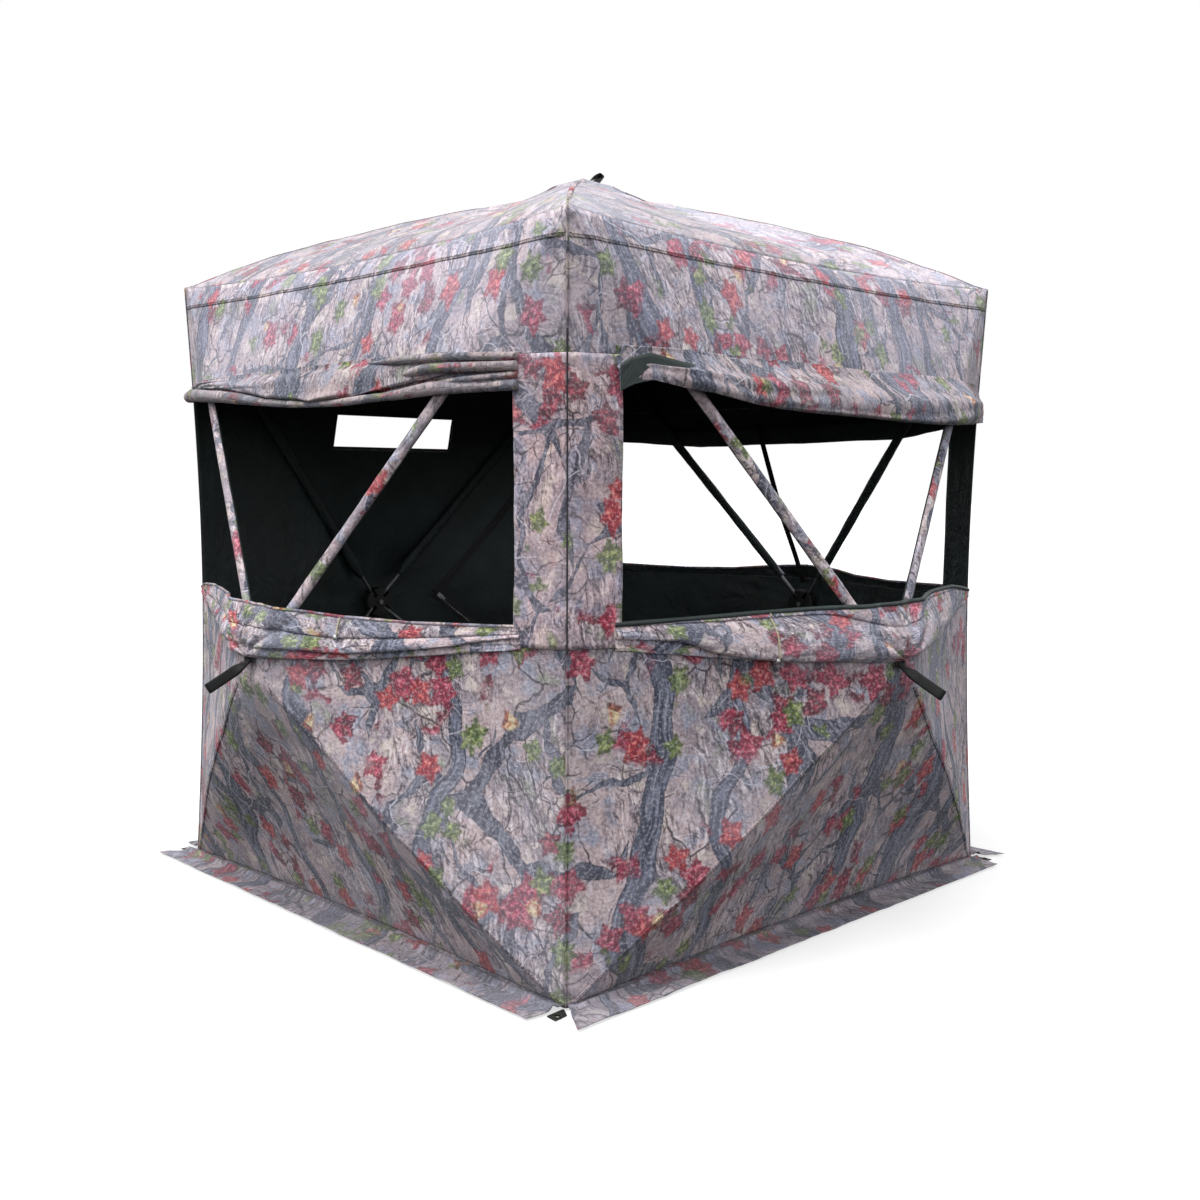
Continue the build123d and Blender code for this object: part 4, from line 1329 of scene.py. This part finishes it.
# ------------------------------------------------------------------ pole sleeves
def sleeve(wall, corner_name, start, corner, across, open_top, index):
    """Cloth tube round a pole, in wall coordinates, or in the frame's for the roof."""
    noise = NOISE[wall]
    axis = 2 if wall == "roof" else 1       # coordinate that points out of the cloth
    sides = 20
    length = np.linalg.norm(corner - start) - 0.078
    along = unit(corner - start)
    outward = unit(np.eye(3)[axis] - along * along[axis])

    def cloth_level(points, wrinkle):
        x, y, z = points.T
        x = np.clip(x, -HALF, HALF)
        if wall == "roof":
            return roof_shape(x, np.clip(y, -HALF, HALF), wrinkle)[2]
        return wall_shape(wall, x, np.clip(z, 0, EAVE), wrinkle)[1]

    run = np.linspace(0.082, length + 0.016, int(length / (STEP * 0.9)))
    pole = start + np.outer(run, along)
    # the sleeve reaches out to the wall cloth, but stands free in an open window
    gap = (cloth_level(pole, False) - pole[:, axis]) * (0.97 if wall == "roof" else 1) - 0.0035
    if open_top:
        free = smooth(0.70, 0.76, pole[:, 2]) * smooth(1.25, 1.19, pole[:, 2])
        gap = gap * (1 - free) + 0.0088 * free
    taper = (smooth(length + 0.018, length - 0.03, run) * 0.75 + 0.25)[:, None]
    opening = (0.55 + 0.45 * smooth(0.080, 0.13, run))[:, None]
    turn = np.arange(sides)
    angle = 2 * math.pi * turn / sides
    row = run[:, None]
    half_width = (0.0145 * (1 + 0.12 * noise(row * 7 + index, 2.0) + 0.06 * noise(row * 30, turn * 0.7))
                  * taper * opening)
    inner = (0.0088 * (1 + 0.10 * noise(row * 11 + index, turn * 0.6))
             * (0.6 + 0.4 * taper) * (0.7 + 0.3 * opening))
    outer = gap[:, None] * (0.35 + 0.65 * taper)
    sine = np.sin(angle)
    level = np.where(sine >= 0, outer * np.abs(sine) ** 1.1, -inner * np.abs(sine) ** 0.9)
    points = (pole[:, None] + (half_width * np.cos(angle))[..., None] * across
              + level[..., None] * outward).reshape(-1, 3)
    # the sleeve stays under the cloth it is sewn to
    under = np.minimum(points[:, axis], cloth_level(points, True) - 0.0034)
    free = open_top & (points[:, 2] > 0.76) & (points[:, 2] < 1.20)
    points[:, axis] = np.where(free, points[:, axis], under)
    if wall != "roof":
        points = place(wall, *points.T)
    ring = [0 if open_top and math.sin(2 * math.pi * (k + 0.5) / sides) > -0.1 else 1
            for k in range(sides)]
    bag = Bag()
    bag.add(points, np.stack(np.broadcast_arrays(0.8 * index + angle * 0.011, row), -1),
            ring_faces(len(run), sides), ring * (len(run) - 1) + [1, 1])
    bag.fix(f"{wall}_sleeve_{corner_name}", [CAMO_SLEEVE, LINING], f"{wall}_pole_{corner_name}")


# corner: side of the wall, at the top or not
WALL_CORNERS = {"top_right": (1, True), "top_left": (-1, True), "bottom_left": (-1, False),
                "bottom_right": (1, False)}
ROOF_CORNERS = {"front_right": -45, "back_right": 45, "back_left": 135, "front_left": 225}


def all_sleeves():
    index = 0
    for wall in WALLS:
        for name, (sign, top) in WALL_CORNERS.items():
            index += 1
            corner_z = EAVE if top else 0.0
            reach = math.hypot(HALF, corner_z - HUB_Z)
            toward_x, toward_z = sign * HALF / reach, (corner_z - HUB_Z) / reach
            start = np.array([PIVOT_REACH * toward_x, BULGE - POLE_DEPTH,
                              HUB_Z + PIVOT_REACH * toward_z])
            corner = np.array([sign * HALF, -POLE_DEPTH, corner_z])
            sleeve(wall, name, start, corner, np.array([-toward_z, 0, toward_x]),
                   wall in OPEN and top, index)
    for name, degrees in ROOF_CORNERS.items():
        index += 1
        cosine, sine = math.cos(math.radians(degrees)), math.sin(math.radians(degrees))
        diagonal = HALF * math.sqrt(2)
        start = np.array([PIVOT_REACH * cosine, PIVOT_REACH * sine, EAVE + RISE - POLE_DEPTH])
        corner = np.array([diagonal * cosine, diagonal * sine, EAVE - POLE_DEPTH])
        sleeve("roof", name, start, corner, np.array([-sine, cosine, 0]), False, index)


all_sleeves()


# ------------------------------------------------------------------ ground flaps
def ground_flap(wall):
    noise = NOISE[wall]
    rows, columns = int(1.55 / STEP) + 1, 21
    share = (np.arange(rows) / (rows - 1))[:, None]
    away = (np.arange(columns) / (columns - 1))[None, :]     # 0 at the wall, 1 at the free edge
    wall_x = -0.745 + 1.49 * share
    free_x = -0.802 + 1.538 * share
    x = wall_x + (free_x - wall_x) * away
    span = np.cos(math.pi * np.clip(x, -HALF, HALF) / (2 * HALF))
    out = (-0.019 * span * (1 - away) + 0.002 * (1 - away)
           + away * (0.089 + 0.003 * noise(x * 6, 3.0) + 0.0012 * noise(x * 40, 1.0)))
    z = (0.0025 + 0.0035 * np.abs(noise(x * 9, away * 2.0)) + 0.006 * (1 - away) ** 2
         + 0.009 * fall(away - 0.27 - 0.03 * noise(x * 3, 8.0), 0.075, 2)
         + 0.004 * smooth(0.3, 1, away) * (0.5 + 0.5 * noise(x * 5 + 3, away * 1.5)))
    bag = Bag()
    bag.sheet(place(wall, x, out, z + 0.001),
              np.stack([x + CLOTH_START[wall] + 0.4, -0.3 - out], -1),
              grid_faces(rows, columns), 0.0, (0, 0, 1.0), thick=0.0014)
    ob = bag.fix(f"{wall}_ground_flap", [CAMO_GROUND, LINING], "root")
    if wall == "front":
        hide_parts("ground_skirt")


for wall in WALLS:
    ground_flap(wall)

# ------------------------------------------------------------------ door flap and zip
DOOR_GAP = 0.0025
HINGE_X = -DOOR_HINGE + 0.0006
HINGE_START, HINGE_END = (tuple(float(c) for c in place("left", x, 0.0, 0.7))
                          for x in (HINGE_X, -DOOR_HINGE + 0.075))


def swing_with_door(bag, name, materials):
    ob = bag.make(name, materials)
    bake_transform(ob)
    return ob


def door():
    bag = Bag()
    bag.wall_sheet("left", *flat_sheet(HINGE_X, -DOOR_X - 0.010, 0.15, 1.35, STEP,
                                       door_cuts(DOOR_GAP),
                                       lambda x, z: in_door(x + DOOR_GAP * 1.01, z)))
    ob = swing_with_door(bag, "door_cloth", [CAMO, LINING])
    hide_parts("door_flap")
    # binding behind the hinge line
    bag = Bag()
    bag.wall_sheet("left", *flat_sheet(-DOOR_HINGE - 0.009, -DOOR_HINGE + 0.013, 0.225, 1.262,
                                       STEP), lift=-0.0042)
    bag.hang("door_hinge_binding", [CAMO, LINING])


def zip_side(part, sign):
    """Zip tape and teeth along the sloping edges; sign 1 is outside the door, -1 on it."""
    bag = Bag()
    inward = (DOOR_HINGE - 0.004 - DOOR_X) * np.linspace(0.0, 1.0, 90)
    for normal, slope in ((UPPER_NORMAL, (EAVE - HUB_Z) / HALF), (LOWER_NORMAL, -HUB_Z / HALF)):
        def line(offset):
            return (-(DOOR_X + inward - normal[0] * offset),
                    DOOR_Z + inward * slope - normal[1] * offset)

        offset = sign * (0.0002 + 0.0042 * np.arange(4))[:, None]
        x, z = line(offset)
        cloth = np.stack(np.broadcast_arrays(np.linspace(0, 0.7, 90), offset), -1)
        bag.sheet(on_wall("left", x, z), cloth, grid_faces(4, 90, rows_first=False),
                  wall_follow(x, z), OUTWARD["left"], thick=0.0036, inner=0, lift=0.0012)
        # one row of small teeth
        near, far = line(sign * 0.0004), line(sign * 0.0030)
        run = run_length(np.stack(near, -1))
        for at in np.arange(0.004, run[-1] - 0.004, 0.004):
            x, z = (np.array([np.interp(at, run, near[k]), np.interp(at, run, far[k])])
                    for k in (0, 1))
            root, tip = on_wall("left", x, z, 0.0020)
            bag.tube(np.vstack([root - (tip - root) * 0.25, (root + tip) / 2, tip]), 0.0010, 1,
                     sides=5, follow=wall_follow(x[0], z[0]))
    name, materials = f"zip_tape_{part}", [TAPE_DARK, HUB_NYLON]
    if part == "door":
        swing_with_door(bag, name, materials)
    else:
        bag.hang(name, materials)


door()
zip_side("frame", 1)
zip_side("door", -1)

# ------------------------------------------------------------------ webbing straps
STRAP_SHARE = {"front": 0.76, "right": 0.82, "back": 0.86, "left": 0.86, "roof": 1.0}


def pull_strap(hub):
    """A folded loop of webbing from the hub's pin, twisting towards its free end."""
    joint = JOINTS[f"{hub}_pull_strap_swing"]
    pin = np.array(joint["pos_m"])
    axis = unit(np.array(joint["axis"], float))
    points = np.array([tuple(vert.co)
                       for vert in frame["nodes"][f"{hub}_pull_strap"].data.vertices])
    distance = np.linalg.norm(points - pin, axis=1)
    end = points[distance > 0.9 * distance.max()].mean(0)
    along = end - pin
    along = unit(along - axis * (along @ axis))
    length = min(np.linalg.norm(end - pin) - 0.004, 0.136) * STRAP_SHARE[hub]
    # the flat side of the front and right straps turns to the camera
    if hub in ("front", "right"):
        facing = CAMERA_AT - pin
    else:
        facing = np.cross(axis, along) * 0.6 + axis * (0.5 if hub == "back" else -0.7)
    end_side = unit(np.cross(along, facing))
    if end_side @ axis < 0:
        end_side = -end_side
    share = np.linspace(0, 1, 46)
    twist = (0.92 * smooth(0.06, 0.55, share))[:, None]
    side = unit((1 - twist) * axis + twist * end_side)
    normal = unit(np.cross(side, along))
    spread = 0.0014 + 0.0066 * smooth(0.12, 0.85, share)
    droop = (0.012 * share ** 2 + 0.004 * np.sin(math.pi * share)) * (0.3 if hub == "roof" else 1)
    middle = pin + np.outer(share * length, along) + np.outer(droop, (0, 0, -1.0))
    top = middle + normal * spread[:, None]
    bottom = (middle - normal * spread[:, None])[::-1]

    def arc(centre, radius, turn, normal):
        return (centre + np.outer(radius * np.cos(turn), along)
                + np.outer(radius * np.sin(turn), normal))

    bend = arc(middle[-1], spread[-1], np.linspace(math.pi / 2, -math.pi / 2, 14)[1:-1],
               normal[-1])
    knuckle = arc(pin, 0.0048, np.linspace(-math.pi / 2, -1.5 * math.pi, 12), normal[0])
    path = np.vstack([knuckle[6:], top[3:], bend, bottom[:-3], knuckle[:6]])
    sides = np.vstack([np.tile(side[0], (6, 1)), side[3:], np.tile(side[-1], (12, 1)),
                       side[::-1][:-3], np.tile(side[0], (6, 1))])
    bag = Bag()
    bag.ribbon(path, sides, width=0.0225, thick=0.0018)
    # bar tack on both plies near the pin
    for sign in (1, -1):
        for offset in (-0.0024, -0.0008, 0.0008, 0.0024):
            centre = pin + along * (0.020 + offset) + normal[6] * sign * 0.0034
            bag.tube(np.array([centre - side[6] * 0.008, centre, centre + side[6] * 0.008]),
                     0.0005, 1, sides=5)
    ob = bag.fix(f"{hub}_strap_webbing", [WEBBING, THREAD], f"{hub}_pull_strap")
    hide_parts(f"{hub}_pull_strap")


def back_window_strap():
    """Centre strap inside the back window, from the flap to the hub."""
    share = np.linspace(0, 1, 50)
    x, z = 0.072 * (1 - share) + 0.012 * share, 1.185 * (1 - share) + 0.700 * share
    bag = Bag()
    bag.ribbon(on_wall("back", x, z, -0.006 + 0.004 * np.sin(math.pi * share), wrinkle=False),
               place("back", 1, 0, 0) - place("back", 0, 0, 0), width=0.020, thick=0.0016,
               follow=wall_follow(x, z))
    bag.hang("back_window_strap", [WEBBING])


for hub in WALLS + ["roof"]:
    pull_strap(hub)
back_window_strap()


# ------------------------------------------------------------------ finishes of the CAD pieces
def finish_piece(ob, materials, choose=lambda centre: 0):
    """Sets the materials; choose gives the slot for a face centre."""
    ob.data.materials.clear()
    for material in materials:
        ob.data.materials.append(material)
    slots = np.array([choose(np.array(face.center)) for face in ob.data.polygons], np.int32)
    ob.data.polygons.foreach_set("material_index", slots)
    ob.data.update()


def finish_cap(ob, hub):
    """Metal on the recessed bolt and on a thin ring, by place round the strap's pin."""
    pin = np.array(JOINTS[f"{hub}_pull_strap_swing"]["pos_m"])
    axis = np.array(JOINTS[f"{hub}_hub_pop"]["axis"])

    def choose(centre):
        height = (centre - pin) @ axis
        radius = np.linalg.norm(centre - pin - axis * height)
        bolt = radius < 0.0095 and height < -0.0055
        ring = 0.0185 < radius < 0.0195 and abs(height) < 0.0034
        return 1 if bolt or ring else 0

    finish_piece(ob, [CAP_NYLON, BOLT], choose)


def finish_pole(ob, name):
    """Metal at the hub end, nylon at the tip."""
    hinge = np.array(JOINTS[f"{name}_hinge"]["pos_m"])
    length = max(np.linalg.norm(np.array(vert.co) - hinge) for vert in ob.data.vertices)

    def choose(centre):
        along = np.linalg.norm(centre - hinge)
        return 1 if along < 0.0775 else (2 if along > length - 0.031 else 0)

    finish_piece(ob, [ROD, BOLT, HUB_NYLON], choose)


PLAIN_PIECES = {"top_corner_sockets": HUB_NYLON, "bottom_corner_feet": CAP_NYLON,
                "stake_grommets": BRASS, "door_zip_slider": STEEL}
for name, ob in frame["nodes"].items():
    if name.endswith("_hub_cap"):
        finish_cap(ob, name.split("_hub_cap")[0])
    elif name.endswith("_hub"):
        finish_piece(ob, [HUB_NYLON])
    elif "_pole_" in name:
        finish_pole(ob, name)
    elif name in PLAIN_PIECES:
        finish_piece(ob, [PLAIN_PIECES[name]])


# ------------------------------------------------------------------ floor, light, camera
def floor(size=60.0, z=-0.0012):
    """Pale to the camera, dark to other rays so that little light bounces up from it."""
    mesh = bpy.data.meshes.new("floor")
    mesh.from_pydata([(-size, -size, z), (size, -size, z), (size, size, z), (-size, size, z)],
                     [], [(0, 1, 2, 3)])
    ob = bpy.data.objects.new("floor", mesh)
    bpy.context.scene.collection.objects.link(ob)
    graph = Material("floor_pale")
    seen = graph.node("ShaderNodeLightPath")[0]
    broad = graph.object_place().noise(scale=3.0, detail=3.0)
    pale = graph.mix(broad.ramp(0.3, 0.7), (150, 150, 150), (154, 154, 153))
    mesh.materials.append(graph.finish(
        graph.mix(seen, (52, 50, 48), pale), 0.95, Emission_Color=(1, 1, 1, 1),
        Emission_Strength=seen * 0.66, Specular_IOR_Level=0.0))


def sky():
    """White to the camera, a soft cool light to everything else."""
    world = bpy.data.worlds.new("soft_studio")
    bpy.context.scene.world = world
    world.use_nodes = True
    graph = Graph(world.node_tree)
    light = graph.node("ShaderNodeBackground", {"Color": (0.95, 0.97, 1.0, 1), "Strength": 1.15})
    seen = graph.node("ShaderNodeBackground", {"Color": (1, 1, 1, 1), "Strength": 1.0})
    camera_ray = graph.node("ShaderNodeLightPath")[0]
    mixed = graph.node("ShaderNodeMixShader", {0: camera_ray, 1: light[0], 2: seen[0]})
    graph.node("ShaderNodeOutputWorld", {0: mixed[0]})


def key_light():
    """Broad sun from high on the left and slightly to the front."""
    sun = bpy.data.lights.new("key", "SUN")
    sun.energy = 3.0
    sun.angle = math.radians(38)
    sun.color = (1.0, 0.985, 0.96)
    ob = bpy.data.objects.new("key", sun)
    ob.rotation_euler = Vector((0.04, 0.40, -0.92)).to_track_quat("-Z", "Y").to_euler()
    bpy.context.scene.collection.objects.link(ob)


def camera(yaw, pitch, roll, lens):
    """Camera at CAMERA_AT; angles in degrees, yaw 0 looks along +y."""
    yaw, pitch, roll = math.radians(yaw), math.radians(pitch), math.radians(roll)
    forward = Vector((math.cos(pitch) * math.sin(yaw), math.cos(pitch) * math.cos(yaw),
                      math.sin(pitch)))
    level = forward.cross(Vector((0, 0, 1))).normalized()
    above = level.cross(forward)
    right = level * math.cos(roll) + above * math.sin(roll)
    up = above * math.cos(roll) - level * math.sin(roll)
    data = bpy.data.cameras.new("camera")
    data.sensor_width = 36.0
    data.lens = lens
    data.clip_start = 0.05
    data.clip_end = 200
    ob = bpy.data.objects.new("camera", data)
    ob.matrix_world = (Matrix.Translation(Vector(CAMERA_AT))
                       @ Matrix((right, up, -forward)).transposed().to_4x4())
    bpy.context.scene.collection.objects.link(ob)
    bpy.context.scene.camera = ob


floor()
sky()
key_light()
view = bpy.context.scene.view_settings
view.view_transform = "Standard"
view.look = "None"
view.exposure = 0.0
camera(yaw=-45.949, pitch=-5.165, roll=0.246, lens=39.02)
